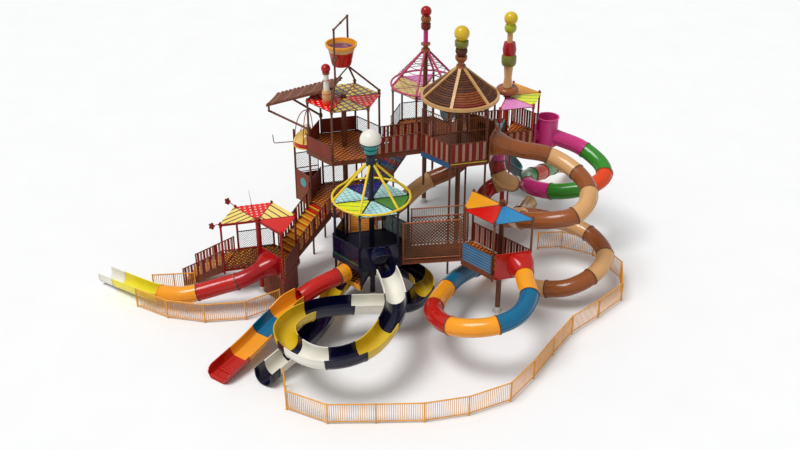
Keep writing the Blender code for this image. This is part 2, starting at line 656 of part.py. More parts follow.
def plank_bridge(name, tower, k, other, k_other, z0, z1, width):
    """Walkway with low side boards, posts and two thin rails each side."""
    a, b = Vector(clear_of(tower, k)), Vector(clear_of(other, k_other))
    way_a, way_b = side_way(k), side_way(k_other)
    walk = bridge("walk", a, way_a, b, way_b, z0, z1, width, 0.10)
    side_a = Vector((-way_a[1], way_a[0])) * (width / 2)
    side_b = Vector((way_b[1], -way_b[0])) * (width / 2)
    parts = [walk]
    for p, q in ((a + side_a, b + side_b), (a - side_a, b - side_b)):
        for t in (0.03, 0.5, 0.97):
            x, y = p.lerp(q, t)
            z = z0 + (z1 - z0) * t
            parts.append(prism(circle((x, y), 0.032, 6), z - 0.18, z + 1.02))
        for lift, r in ((0.98, 0.022), (0.55, 0.018)):
            low, high = p.lerp(q, 0.03), p.lerp(q, 0.97)
            rise = (z1 - z0) * 0.03
            parts.append(bar((low.x, low.y, z0 + rise + lift), (high.x, high.y, z1 - rise + lift), r, 6))
    return join_all(name, parts)


plank_bridge("plank_bridge", BUCKET, 0, PINK, 3, BUCKET_LOW, PINK_DECK, 1.5)
bridge_between("bucket_cone_bridge", BUCKET, 5, CONE, 2, BUCKET_DECK, CONE_DECK, 1.5, 1.0)
bridge_between("net_bridge", NAVY, 5, LOW, 2, NAVY_DECK, LOW_DECK, 1.5, 2.15)
bridge_between("cone_pink_bridge", CONE, 1, PINK, 4, CONE_DECK - 0.02, PINK_DECK, 1.5, 1.0)
bridge_between("bucket_navy_bridge", BUCKET, 4, NAVY, 1, BUCKET_LOW, NAVY_DECK, 1.4, 1.0)
half = corner(BACK, 1, HEX_R / 2)
west = side_way(2)
beam_side = DECK_BEAM * HALF + GAP
bridge("pink_back_bridge", clear_of(PINK, 5), side_way(5),
       (half[0] + west[0] * beam_side, half[1] + west[1] * beam_side), west, PINK_DECK, BACK_DECK, 1.3, 1.0)


# Store under the red deck, closed by walls
store = (corner(RED, 5, 0.10), corner(RED, 5, HEX_R - 0.01), corner(RED, 0, HEX_R - 0.01))
STORE_TOP = RED_DECK - 0.22 - GAP
walls = [panel(store[0], store[1], 0.0, RED_DECK - DECK_T - 2 * DECK_BEAM * HALF - 2 * GAP, 0.05),
         panel(store[1], store[2], 0.0, STORE_TOP, 0.05)]
red_store = join_all("red_store_walls", walls)
for k in (5, 0):
    red_store = cut(red_store, prism(circle(corner(RED, k), POST_R + GAP, 6, 7.0 + k), 1.0, 3.0))
red_store = cut(red_store, prism(circle(RED, COLUMN_R + GAP, 8, 5.0), -1.0, 3.0))
red_store = cut(red_store, prism(circle(RED, 0.26 + GAP, 8, 11.0), -1.0, 0.04 + GAP))
tidy(red_store)


# Bay beside the bucket tower: one post, two walls, a small floor, a dome and a spray arm
BAY_POST = Vector((-4.15, 5.30))
BAY_LOW, BAY_WALL, BAY_BEAM, BAY_TOP = 2.80, 4.60, 6.10, 6.90
board_way = Vector(side_way(2))
board_at = Vector(clear_of(BUCKET, 2))


def bay_end(k, inset):
    """Where a wall from the bay post meets the tower's edge board near corner k."""
    target = Vector(corner(BUCKET, k, HEX_R - inset))
    way = target - BAY_POST
    reach = (board_at - BAY_POST).dot(board_way) / way.dot(board_way)
    return BAY_POST + way * reach


def flat_bar(start, end, z, wide, high):
    """Level bar of square section, its far end cut flush with the tower's edge board."""
    along = Vector((-board_way.y, board_way.x))
    spread = along * (wide / 2 / max(abs((end - start).normalized().dot(board_way)), 0.3))
    plan = [start + spread, start - spread, end - spread, end + spread]
    return prism([(q.x, q.y) for q in plan], z, z + high)


bay_near, bay_far = bay_end(3, 0.10), bay_end(2, 0.10)
parts = [prism(circle(BAY_POST, POST_R, 6, 9.0), BAY_LOW, BAY_TOP)]
floor_inset = board_way * 0.0004
parts.append(prism([tuple(BAY_POST + board_way * 0.02), tuple(bay_far + floor_inset), tuple(bay_near + floor_inset)],
                   BUCKET_LOW - DECK_T, BUCKET_LOW))
parts.append(flat_bar(BAY_POST, bay_near, BAY_LOW + 0.02, 0.05, BAY_WALL - BAY_LOW - 0.02))
parts.append(flat_bar(BAY_POST, bay_far, BUCKET_LOW - 0.12, 0.05, FENCE_H + 1.25))
parts.append(flat_bar(BAY_POST, bay_near, BAY_BEAM, 0.07, 0.07))
parts.append(flat_bar(BAY_POST, bay_far, BAY_BEAM, 0.07, 0.07))
DOME = (BAY_POST + Vector(corner(BUCKET, 2)) + Vector(corner(BUCKET, 3))) / 3
DOME_R, DOME_Z, HOOP_RISE = 0.78, BAY_BEAM + 0.10, 1.85


def off_board(x, y, clear=0.0008):
    """The point itself, or its foot just outside the tower's edge board."""
    short = clear - (Vector((x, y)) - board_at).dot(board_way)
    if short > 0.0:
        x, y = x + board_way.x * short, y + board_way.y * short
    return x, y


rows = []
for share, lift in ((0.55, -0.22), (0.98, -0.04), (1.0, 0.06), (0.90, 0.36), (0.68, 0.58), (0.36, 0.74), (0.08, 0.78)):
    rows.append([off_board(x, y) + (DOME_Z + lift,) for x, y in circle(DOME, DOME_R * share, 16, 3.0)])
dome_points = [p for row in rows for p in row]
faces = [tuple(range(15, -1, -1)), tuple(range(len(dome_points) - 16, len(dome_points)))]
for i in range(len(rows) - 1):
    for j in range(16):
        a = i * 16
        faces.append((a + j, a + (j + 1) % 16, a + 16 + (j + 1) % 16, a + 16 + j))
parts.append(solid("dome", dome_points, faces))
section = [(0.022 * math.cos(math.pi * i / 3), 0.022 * math.sin(math.pi * i / 3)) for i in range(6)]
along_board = Vector((-board_way.y, board_way.x))
for way, turn_end in ((along_board, math.pi), (board_way, math.pi / 2)):
    hoop = []
    for i in range(9):
        t = turn_end * i / 8
        x = DOME.x + way.x * DOME_R * 0.95 * math.cos(t)
        y = DOME.y + way.y * DOME_R * 0.95 * math.cos(t)
        hoop.append((x, y, DOME_Z + 0.02 + HOOP_RISE * math.sin(t)))
    parts.append(sweep("hoop", hoop, section, 0.36))
ARM_Z = 6.14
arm = [(BAY_POST.x, BAY_POST.y, ARM_Z + 0.05), (-5.21, 5.30, ARM_Z - 0.05), (-5.26, 5.30, ARM_Z + 0.43)]
parts.append(bar(arm[0], arm[1], 0.026, 6))
parts.append(bar(arm[1], arm[2], 0.026, 6))
parts.append(ball(arm[1], arm[1][2], 0.034, 8))
join_all("bucket_side_bay", parts)


# Awning under the bucket
AWNING_HIGH = Vector((-1.75, 4.60, 9.75))
AWNING_LOW = Vector((-5.24, 5.60, 8.40))
AWNING_W = 1.55
STRUT_R = 0.058
way = (AWNING_LOW - AWNING_HIGH).normalized()
side = Vector((-way.y, way.x, 0)).normalized()
up = side.cross(way) * -1
points = []
for lift in (0.0, 0.06):
    for p, s in ((AWNING_HIGH, 1), (AWNING_LOW, 1), (AWNING_LOW, -1), (AWNING_HIGH, -1)):
        points.append(p + side * (s * AWNING_W / 2) + Vector((0, 0, lift)))
faces = [(3, 2, 1, 0), (4, 5, 6, 7), (0, 1, 5, 4), (1, 2, 6, 5), (2, 3, 7, 6), (3, 0, 4, 7)]
parts = [solid("boards", points, faces)]
for s in (-0.55, 0.55):
    rail_high = AWNING_HIGH + side * s - Vector((0, 0, 0.03))
    rail_low = AWNING_LOW + side * s - Vector((0, 0, 0.03))
    parts.append(bar(rail_high, rail_low, 0.05, 4))
clamps = []
for k, s, reach, hang, drop in ((3, 0.55, 0.985, 0.34, 7.45), (2, -0.55, 0.86, 0.0, 7.42)):
    x, y = corner(BUCKET, k)
    far = AWNING_HIGH.lerp(AWNING_LOW, reach) + side * s - Vector((0, 0, 0.03))
    low = far - Vector((0, 0, hang))
    if hang:
        parts.append(bar(far, low - Vector((0, 0, 0.05)), 0.055, 6))
    parts.append(bar(low, (x, y, drop), STRUT_R, 6))
    parts.append(prism(circle((x, y), POST_R + 0.045, 6, 7.0 + k), drop - 0.10, drop + 0.10))
    clamps.append((k, x, y))
awning = join_all("awning", parts)
for k, x, y in clamps:
    awning = cut(awning, prism(circle((x, y), POST_R + GAP, 6, 7.0 + k), 5.0, 9.3))
tidy(awning)

# Gantry and tipping bucket
PIVOT = Vector((-1.47, 3.755, 11.75))
GANTRY_TOP = 13.24
PIN_R = 0.0479
EYE_R = 0.050
AXIS = Vector((math.cos(math.radians(HEX_TURN + 60)), math.sin(math.radians(HEX_TURN + 60)), 0))
front = PIVOT - AXIS * 1.02
back = PIVOT + AXIS * 1.02
POST_TOP = BUCKET_ROOF + 0.16
base_front = Vector((*corner(BUCKET, 4), POST_TOP + 0.07))
base_back = Vector((*corner(BUCKET, 1), POST_TOP + 0.07))
base_side = Vector((*corner(BUCKET, 0), POST_TOP + 0.07))
top_front = Vector((front.x, front.y, GANTRY_TOP))
top_back = Vector((back.x, back.y, GANTRY_TOP))
low_front = Vector((front.x, front.y, 10.62))
low_back = Vector((back.x, back.y, 10.62))
parts = [bar(base_front, low_front, 0.06, 6)]
for foot in (base_front, base_back, base_side):
    parts.append(prism(circle((foot.x, foot.y), 0.09, 8), POST_TOP + GAP, POST_TOP + 0.10))
parts.append(bar(low_front - Vector((0, 0, 0.05)), top_front, 0.062, 6))
parts.append(bar(base_back, low_back, 0.06, 6))
parts.append(bar(low_back - Vector((0, 0, 0.05)), top_back, 0.062, 6))
parts.append(bar(base_side, low_back, 0.055, 6))
parts.append(bar(top_front - AXIS * 0.03, top_back + AXIS * 0.03, 0.05, 6))
parts.append(bar(low_front, low_back, 0.045, 4))
for end in (front, back):
    sign = 1 if end is front else -1
    parts.append(bar(end - AXIS * 0.05, end + AXIS * (sign * 0.10), 0.11, 8))
gantry = join_all("bucket_gantry", parts)
for end in (front, back):
    gantry = cut(gantry, bar(end - AXIS * 0.30, end + AXIS * 0.30, EYE_R, 12))
tidy(gantry)

RIM_R, BASE_R, WALL = 0.78, 0.48, 0.05
SIDES = 16
levels = [(BASE_R, -0.65), (RIM_R - 0.08, 0.28), (RIM_R, 0.30), (RIM_R, 0.48), (RIM_R - WALL - 0.03, 0.48),
          (RIM_R - WALL - 0.10, 0.24), (BASE_R - WALL, -0.60)]
points = []
for r, z in levels:
    points += [(x, y, PIVOT.z + z) for x, y in circle((PIVOT.x, PIVOT.y), r, SIDES)]
faces = []
for q in range(len(levels) - 1):
    for i in range(SIDES):
        j = (i + 1) % SIDES
        faces.append((q * SIDES + i, q * SIDES + j, (q + 1) * SIDES + j, (q + 1) * SIDES + i))
faces.append(tuple(range(SIDES)))
faces.append(tuple((len(levels) - 1) * SIDES + i for i in range(SIDES)))
parts = [solid("pail", points, faces)]
for sign in (-1, 1):
    parts.append(bar(PIVOT + AXIS * (sign * 0.62), PIVOT + AXIS * (sign * 1.08), PIN_R, 12, None, 0.0))
join_all("bucket", parts)


# Fences
def fence(name, stops, z=0.0):
    """Fence line: posts and one panel per bay, joined."""
    parts = []
    for a, b in zip(stops, stops[1:]):
        a, b = Vector(a), Vector(b)
        inset = (b - a).normalized() * 0.02
        parts.append(panel(a + inset, b - inset, z + 0.10, z + FENCE_H - 0.03, 0.035))
    for i, p in enumerate(stops):
        parts.append(prism(circle(p, 0.045, 6, 9.0 + 7 * i), z, z + FENCE_H))
    return join_all(name, parts)


FRONT_FENCE = [(-3.85, -7.4), (-3.6, -9.0), (-1.75, -9.95), (0.35, -9.92), (2.45, -9.85), (4.4, -9.4),
               (6.3, -8.45), (7.5, -6.8), (8.6, -5.0), (9.7, -3.3), (11.2, -1.9), (12.6, -0.4),
               (12.9, 1.6), (11.8, 3.9), (10.2, 4.7), (8.9, 4.6)]
LEFT_FENCE = [(-11.8, -0.95), (-10.1, -1.95), (-8.2, -2.35), (-6.2, -2.1), (-4.62, -1.0)]
fence("front_fence", FRONT_FENCE)
fence("left_fence", LEFT_FENCE)
fence("back_left_fence", [(-11.2, 0.35), (-10.15, 0.45), (-9.1, 0.55)])


# Finials on the roofs
def finial(name, middle, z, shapes):
    """Stack of plain turned shapes: ('rod', r, height) or ('ball', r)."""
    parts = []
    for kind, r, height in shapes:
        if kind == "rod":
            parts.append(prism(circle(middle, r, 10, 2.0 + 5 * len(parts)), z, z + height))
            z += height - 0.03
        else:
            parts.append(ball(middle, z + r - 0.05, r))
            z += 2 * r - 0.13
    return join_all(name, parts)


finial("navy_finial", NAVY, 7.75 + GAP, (("rod", 0.24, 0.45), ("rod", 0.32, 0.20), ("ball", 0.52, 0)))
finial("bucket_finial", (-2.25, 3.65), BUCKET_ROOF + 0.035 + GAP,
       (("rod", 0.20, 0.25), ("rod", 0.24, 0.54), ("rod", 0.14, 0.88), ("rod", 0.19, 0.12), ("ball", 0.24, 0)))
finial("cone_finial", CONE, 11.05 + GAP, (("rod", 0.16, 0.22), ("rod", 0.30, 0.30), ("ball", 0.30, 0),
                                            ("rod", 0.34, 0.42), ("ball", 0.38, 0)))
finial("pink_finial", PINK, PINK_APEX + GAP, (("rod", 0.14, 0.15), ("rod", 0.26, 0.20), ("rod", 0.13, 0.85),
                                                ("rod", 0.26, 0.36), ("ball", 0.28, 0), ("ball", 0.30, 0)))
finial("back_finial", BACK, 7.80 + GAP, (("rod", 0.62, 0.42), ("rod", 0.26, 1.30), ("rod", 0.40, 1.25),
                                           ("rod", 0.15, 0.55), ("ball", 0.32, 0), ("ball", 0.36, 0)))
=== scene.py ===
"""Looks of the water slide tower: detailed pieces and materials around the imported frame."""
from math import cos, pi, radians, sin

import bmesh
import bpy
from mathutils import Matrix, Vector


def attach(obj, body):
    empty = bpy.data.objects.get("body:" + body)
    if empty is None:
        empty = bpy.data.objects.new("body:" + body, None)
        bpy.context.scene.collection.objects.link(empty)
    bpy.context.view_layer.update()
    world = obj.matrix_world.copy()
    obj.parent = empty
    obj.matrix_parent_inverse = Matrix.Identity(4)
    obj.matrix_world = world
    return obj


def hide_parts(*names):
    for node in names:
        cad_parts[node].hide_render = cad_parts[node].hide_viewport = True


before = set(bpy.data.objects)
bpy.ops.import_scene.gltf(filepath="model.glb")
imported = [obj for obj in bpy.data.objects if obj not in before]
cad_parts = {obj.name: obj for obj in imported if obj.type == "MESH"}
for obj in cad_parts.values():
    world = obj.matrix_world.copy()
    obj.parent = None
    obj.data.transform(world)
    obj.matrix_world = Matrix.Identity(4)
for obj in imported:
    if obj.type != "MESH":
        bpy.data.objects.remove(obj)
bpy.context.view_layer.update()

# Sizes repeated from the part
HEX_TURN = 14.0
HEX_R = 1.85
FENCE_H = 1.10
TUBE_R = 0.435
TUBE_WALL = 0.03
COLUMN_R = 0.13
POST_R = 0.055
GAP = 0.0005
DECK_T = 0.06
RIM_OUT = 0.13
RIM_T = 0.05
POST_RISE = 0.16
SMOOTH_ANGLE = radians(50.0)
UP = Vector((0.0, 0.0, 1.0))

NAVY = (0.0, 0.0)
RED = (-5.66, 0.50)
LOW = (6.25, -1.35)
BUCKET = (-1.47, 4.55)
CONE = (4.39, 3.90)
PINK = (2.79, 10.0)
BACK = (7.15, 7.95)
NAVY_LOW, NAVY_DECK, NAVY_ROOF, NAVY_APEX = 1.80, 2.85, 5.60, 7.75
RED_DECK, RED_ROOF = 1.60, 4.15
LOW_DECK, LOW_ROOF = 3.30, 6.05
BUCKET_LOW, BUCKET_DECK, BUCKET_ROOF = 3.30, 6.30, 9.00
CONE_DECK, CONE_ROOF, CONE_APEX = 6.50, 9.20, 11.05
PINK_DECK, PINK_ROOF, PINK_APEX = 4.60, 7.30, 9.55
BACK_DECK, BACK_ROOF, BACK_TOP = 5.20, 7.60, 7.80


# Places on the towers
def corner(middle, k, r=HEX_R):
    """Corner k of a tower's hexagon, counted anticlockwise from the right."""
    a = radians(HEX_TURN + 60.0 * k)
    return Vector((middle[0] + r * cos(a), middle[1] + r * sin(a)))


def side_way(k):
    """Outward direction of side k."""
    a = radians(HEX_TURN + 60.0 * k + 30.0)
    return Vector((cos(a), sin(a)))


def clear_of(middle, k, out=0.0):
    """Point just outside the edge board on side k of a deck."""
    reach = (HEX_R + RIM_OUT) * cos(radians(30.0)) + RIM_T / 2 + GAP + out
    return Vector(middle) + side_way(k) * reach


def leave(middle, k, z, drop=0.0, first=0.55, aside=0.0):
    """Two points that start a slide square to side k of a deck, `aside` from its middle."""
    way = side_way(k)
    along = Vector((-way.y, way.x)) * aside
    a, b = clear_of(middle, k) + along, clear_of(middle, k, first) + along
    return [(a.x, a.y, z), (b.x, b.y, z - drop)]


def at_height(p, z):
    return Vector((p[0], p[1], z))


def between(low, high, t):
    return low + (high - low) * t


# Colours and materials
def shade(rgb):
    """Linear colour from the 0 to 255 values seen on a screen."""
    seen = [v / 255.0 for v in rgb]
    return tuple(v / 12.92 if v <= 0.04045 else ((v + 0.055) / 1.055) ** 2.4 for v in seen) + (1.0,)


def tinted(colour, k):
    return tuple(min(1.0, max(0.0, v * k)) for v in colour[:3]) + (1.0,)


def deep(colour, power=0.38):
    """Fuller colour: the lesser channels drop, the strongest one stays."""
    top = max(colour[:3])
    return tuple(v * (v / top) ** power for v in colour[:3]) + (1.0,)


class Nodes:
    """Short way to build a node tree."""

    def __init__(self, name):
        self.material = bpy.data.materials.new(name)
        self.material.use_nodes = True
        self.tree = self.material.node_tree
        self.tree.nodes.clear()
        self.coords = self.new("TexCoord", {}, "Object")

    def new(self, kind, values, output=0, **settings):
        """Node with its inputs set by place or name; gives one of its outputs."""
        node = self.tree.nodes.new("ShaderNode" + kind)
        for key, value in settings.items():
            setattr(node, key, value)
        for key, value in values.items():
            if isinstance(value, bpy.types.NodeSocket):
                self.tree.links.new(value, node.inputs[key])
            else:
                node.inputs[key].default_value = value
        return node.outputs[output] if node.outputs else None

    def math(self, operation, a, b=0.0):
        return self.new("Math", {0: a, 1: b}, operation=operation)

    def noise(self, scale, detail=3.0, stretch=None):
        source = self.coords
        if stretch:
            source = self.new("Mapping", {"Scale": stretch, "Vector": source})
        return self.new("TexNoise", {"Scale": scale, "Detail": detail, "Vector": source}, "Fac")

    def mix(self, factor, a, b):
        return self.new("Mix", {0: factor, 6: a, 7: b}, 2, data_type="RGBA")

    def span(self, value, low, high, out_low=0.0, out_high=1.0):
        """Ramp a value from low..high to out_low..out_high."""
        return self.new("MapRange", {0: value, 1: low, 2: high, 3: out_low, 4: out_high})

    def axis(self, k):
        return self.new("SeparateXYZ", {0: self.coords}, k)

    def along(self, degrees):
        """Distance along a level direction."""
        a = radians(degrees)
        return self.math("ADD", self.math("MULTIPLY", self.axis(0), cos(a)),
                         self.math("MULTIPLY", self.axis(1), sin(a)))

    def bands(self, value, period, width):
        """1 inside bands of a period, 0 between them."""
        part = self.math("FRACT", self.math("DIVIDE", value, period))
        return self.math("LESS_THAN", part, width)


# Grey of the thin dust on most surfaces, and the factor on the plain paints' colours
DUST_GREY = shade((176, 168, 158))
DEPTH = 0.80


def material(name, rgb, finish, second=None, pattern=None, relief=0.0, clear=0.0, stretch=None, dust=0.05,
             metallic=0.0, depth=1.0):
    """Varied colour, a pattern in a second colour, dust and fine bumps.

    A finish lists roughness, coat, colour variation, grain, bump height and fine grain."""
    rough, coat, vary, grain, bump, fine = finish
    n = Nodes(name)
    colour = deep(tinted(shade(rgb), depth))
    base = n.mix(n.span(n.noise(grain, 4.0, stretch), 0.3, 0.7), tinted(colour, 1 - vary),
                 tinted(colour, 1 + vary))
    height = n.math("MULTIPLY", n.noise(fine, 3.0, stretch), bump)
    if pattern:
        mark = pattern(n)
        base = n.mix(mark, base, shade(second))
        if relief:
            height = n.math("ADD", height, n.math("MULTIPLY", mark, relief))
    film = n.math("MULTIPLY", n.span(n.noise(0.9, 6.0, (1.0, 1.0, 0.35)), 0.45, 0.85), dust)
    roughness = n.span(n.noise(grain * 3.0, 5.0), 0.3, 0.7, max(0.05, rough - 0.07), min(1.0, rough + 0.10))
    normal = n.new("Bump", {"Strength": 0.35, "Distance": 0.01, "Height": height}, "Normal")
    surface = n.new("BsdfPrincipled", {
        "Base Color": n.mix(film, base, DUST_GREY), "Roughness": roughness, "Metallic": metallic,
        "Specular IOR Level": 0.30, "Coat Weight": coat, "Coat Roughness": 0.08,
        "Transmission Weight": clear, "Normal": normal})
    n.new("OutputMaterial", {"Surface": surface})
    return n.material


def grid(period, width, turn=HEX_TURN):
    return lambda n: n.math("MAXIMUM", n.bands(n.along(turn), period, width),
                            n.bands(n.along(turn + 90.0), period, width))


def stripes(period, width, turn):
    return lambda n: n.bands(n.along(turn), period, width)


def dots(period, size):
    def square(n, turn):
        part = n.math("SUBTRACT", n.math("FRACT", n.math("DIVIDE", n.along(turn), period)), 0.5)
        return n.math("MULTIPLY", part, part)

    return lambda n: n.math("LESS_THAN", n.math("ADD", square(n, HEX_TURN), square(n, HEX_TURN + 90.0)),
                            size * size)


def speckle(scale, size):
    def pattern(n):
        distance = n.new("TexVoronoi", {"Scale": scale, "Vector": n.coords}, "Distance")
        return n.math("LESS_THAN", distance, size)

    return pattern


def hatch(period, width, turn):
    """Slanting lines on an upright panel."""
    return lambda n: n.bands(n.math("ADD", n.along(turn), n.axis(2)), period, width)


def level_lines(period, width):
    return lambda n: n.bands(n.axis(2), period, width)


def moulding(name, *rgb):
    return material(name, rgb, (0.20, 0.22, 0.07, 0.7, 0.05, 30.0), dust=0.01, depth=DEPTH)


def steel(name, *rgb):
    return material(name, rgb, (0.42, 0.10, 0.12, 3.0, 0.10, 60.0), dust=0.03, depth=DEPTH)


def board(name, *rgb):
    return material(name, rgb, (0.60, 0.0, 0.22, 5.0, 0.5, 30.0), stretch=(1.0, 1.0, 0.12), dust=0.03,
                    depth=DEPTH)


def floor_mesh(name, rgb, line, coat=0.1):
    return material(name, rgb, (0.5, coat, 0.12, 2.0, 0.1, 50.0), line, grid(0.21, 0.34, HEX_TURN + 45.0),
                    -0.8)


def pane(name, rgb, line, pattern, clear, coat=0.2, rough=0.3, vary=0.06):
    return material(name, rgb, (rough, coat, vary, 1.0, 0.03, 30.0), line, pattern, clear=clear)


BROWN_STEEL = steel("brown_steel_paint", 114, 72, 50)
NAVY_STEEL = steel("navy_steel_paint", 24, 26, 44)
RED_STEEL = steel("red_steel_paint", 164, 36, 36)
RUST_STEEL = steel("orange_red_steel_paint", 196, 72, 42)
ORANGE_STEEL = steel("orange_steel_paint", 246, 188, 84)
YELLOW_STEEL = steel("yellow_steel_paint", 255, 228, 84)
PINK_STEEL = steel("pink_steel_paint", 205, 95, 135)
TAN_STEEL = steel("tan_steel_paint", 214, 178, 128)
BLACK_STEEL = steel("black_steel_paint", 38, 36, 40)
BLUE_STEEL = steel("blue_steel_paint", 66, 110, 148)
NET_FRAME = steel("net_frame_brown", 164, 104, 66)
WHITE_FOOT = steel("white_foot_paint", 226, 226, 222)
PICKET_RED = board("picket_dark_red", 136, 34, 42)
PICKET_TAN = board("picket_tan", 186, 146, 122)
PICKET_BROWN = board("picket_brown", 122, 76, 54)
SLAT_DARK = board("roof_slat_dark", 88, 56, 38)
SLAT_MID = board("roof_slat_mid", 106, 68, 44)
# Very dark sheet laid under the cone roof's slats and the awning's boards: painted shade that shows through
# the gaps between them
SHADE_UNDERLAY = board("painted_shade_underlay", 40, 24, 18)
SLAT_GREY = board("awning_board_grey_brown", 132, 96, 80)
SLAT_LIGHT = board("awning_board_light", 150, 112, 94)
WALL_RED = board("wall_board_red_brown", 136, 66, 48)
WALL_BROWN = board("wall_board_brown", 138, 84, 48)
BROWN_GLOSS = moulding("gelcoat_brown", 156, 102, 62)
TAN_GLOSS = moulding("gelcoat_tan", 226, 186, 138)
NAVY_GLOSS = moulding("gelcoat_navy", 13, 13, 44)
WHITE_GLOSS = moulding("gelcoat_white", 250, 247, 236)
YELLOW_GLOSS = moulding("gelcoat_yellow", 228, 200, 62)
LEMON_GLOSS = moulding("gelcoat_lemon", 250, 238, 84)
ORANGE_GLOSS = moulding("gelcoat_orange", 255, 186, 62)
RED_GLOSS = moulding("gelcoat_red", 196, 50, 38)
CRIMSON_GLOSS = moulding("gelcoat_crimson", 176, 36, 44)
DOME_YELLOW = moulding("gelcoat_dome_yellow", 255, 224, 146)
BLUE_GLOSS = moulding("gelcoat_blue", 26, 116, 146)
PINK_GLOSS = moulding("gelcoat_pink", 216, 84, 152)
GREEN_GLOSS = moulding("gelcoat_green", 74, 146, 58)
DARK_GREEN = moulding("gelcoat_dark_green", 48, 88, 66)
CORAL_GLOSS = moulding("gelcoat_orange_red", 236, 104, 56)
GREY_GLOSS = moulding("gelcoat_grey", 120, 140, 146)
TEAL_GLOSS = moulding("gelcoat_teal", 70, 160, 160)
LIME_GLOSS = moulding("gelcoat_lime", 178, 186, 62)
OLIVE_GLOSS = moulding("gelcoat_olive", 126, 124, 60)
PANE_ORANGE = moulding("pane_orange", 255, 190, 62)
PANE_RED = moulding("pane_red", 224, 48, 34)
PANE_BLUE = moulding("pane_blue", 52, 152, 196)
PLANKS = (moulding("plank_red", 150, 44, 52), moulding("plank_teal", 34, 98, 116),
          moulding("plank_navy", 46, 56, 108))
DECK_ORANGE = floor_mesh("deck_mesh_orange", (216, 138, 48), (74, 34, 16))
DECK_NAVY = floor_mesh("deck_mesh_navy", (30, 36, 56), (12, 12, 20), 0.0)
# Darker copy of the orange deck mesh: painted shade for the deck under the cone roof
DECK_SHADED = floor_mesh("deck_mesh_painted_shade", (140, 84, 54), (60, 30, 22))
DECK_YELLOW = floor_mesh("deck_mesh_yellow", (222, 168, 44), (92, 52, 18))
PANE_RED_DOTS = pane("pane_red_dots", (232, 26, 26), (246, 214, 196), dots(0.26, 0.21), 0.1)
PANE_YELLOW_LINES = pane("pane_yellow_lines", (255, 234, 146), (118, 46, 70),
                         stripes(0.36, 0.22, HEX_TURN + 28.0), 0.15)
PANE_YELLOW_BARS = pane("pane_yellow_bars", (255, 234, 146), (104, 40, 66),
                        stripes(0.30, 0.26, HEX_TURN + 120.0), 0.15)
PANE_YELLOW_PLAID = pane("pane_yellow_plaid", (232, 214, 110), (110, 56, 84),
                         grid(0.34, 0.30, HEX_TURN + 20.0), 0.2, 0.5)
PANE_CYAN = pane("pane_cyan_grid", (214, 250, 248), (70, 138, 160), grid(0.26, 0.10, HEX_TURN + 8.0), 0.25,
                 0.3, 0.22, 0.05)
PANE_NIGHT = pane("pane_navy_stars", (28, 32, 112), (190, 196, 226), speckle(6.0, 0.16), 0.1, 0.2, 0.25, 0.08)
PANE_LIME = pane("pane_yellow_green", (240, 244, 60), (120, 176, 70), stripes(0.40, 0.16, HEX_TURN + 70.0),
                 0.2, vary=0.08)
PANE_PINK = pane("pane_pink_grid", (240, 136, 206), (240, 180, 220), grid(0.16, 0.3), 0.2)
PANE_CREAM = pane("pane_cream_grid", (232, 214, 150), (176, 128, 96), grid(0.30, 0.12), 0.25, 0.5)
CLEAR_GREY = pane("see_through_grey", (150, 166, 162), None, None, 0.6, 0.4, 0.2)
PANE_GREEN = material("pane_green", (84, 136, 58), (0.25, 0.2, 0.10, 1.2, 0.03, 30.0), clear=0.1)
GALVANISED = material("galvanised_steel", (150, 150, 150), (0.42, 0.0, 0.15, 8.0, 0.1, 60.0), metallic=0.8)
BLUE_HATCH = material("blue_hatch_panel", (50, 112, 150), (0.4, 0.1, 0.10, 2.0, 0.1, 50.0), (122, 138, 138),
                      hatch(0.15, 0.26, HEX_TURN + 30.0), 0.5)
STEP_ORANGE = material("step_orange", (222, 158, 62), (0.5, 0.1, 0.12, 2.0, 0.2, 50.0), (150, 92, 30),
                       grid(0.06, 0.25, HEX_TURN + 30.0), -0.4)
STEP_DARK = material("step_riser_orange", (176, 104, 34), (0.5, 0.1, 0.12, 2.0, 0.2, 50.0))
NET_ROPE = material("net_rope", (104, 76, 56), (0.8, 0.0, 0.2, 20.0, 0.5, 120.0))
GREEN_MESH = material("green_grey_mesh", (112, 120, 96), (0.7, 0.0, 0.15, 6.0, 0.4, 80.0), (66, 74, 58),
                      level_lines(0.05, 0.35))
SEAM = material("joint_flange_dark", (84, 60, 46), (0.5, 0.0, 0.1, 6.0, 0.2, 60.0))
ROPE = material("rope_twist", (168, 138, 96), (0.85, 0.0, 0.2, 18.0, 0.6, 90.0), stretch=(1.0, 1.0, 3.0))
BUCKET_WATER = material("bucket_water", (96, 60, 100), (0.06, 0.6, 0.05, 3.0, 0.3, 9.0), dust=0.0)
FLOOR_PAPER = material("studio_floor_paper", (236, 236, 236), (0.55, 0.0, 0.01, 0.3, 0.0, 10.0), dust=0.0)


# Mesh building
def circle(middle, r, sides, turn=0.0):
    return [(middle[0] + r * cos(radians(turn) + 2 * pi * i / sides),
             middle[1] + r * sin(radians(turn) + 2 * pi * i / sides)) for i in range(sides)]


def level_ring(middle, r, z, sides=48, turn=0.0):
    return [(x, y, z) for x, y in circle(middle, r, sides, turn)]


def round_section(r, sides, shift=0.0):
    turns = [2 * pi * (i + shift) / sides for i in range(sides)]
    return [(r * cos(a), r * sin(a)) for a in turns]


def placed(frame_here, section):
    """Outline of (sideways, up) pairs set on a frame: point, sideways and up directions."""
    p, across, up = frame_here
    return [p + across * a + up * b for a, b in section]


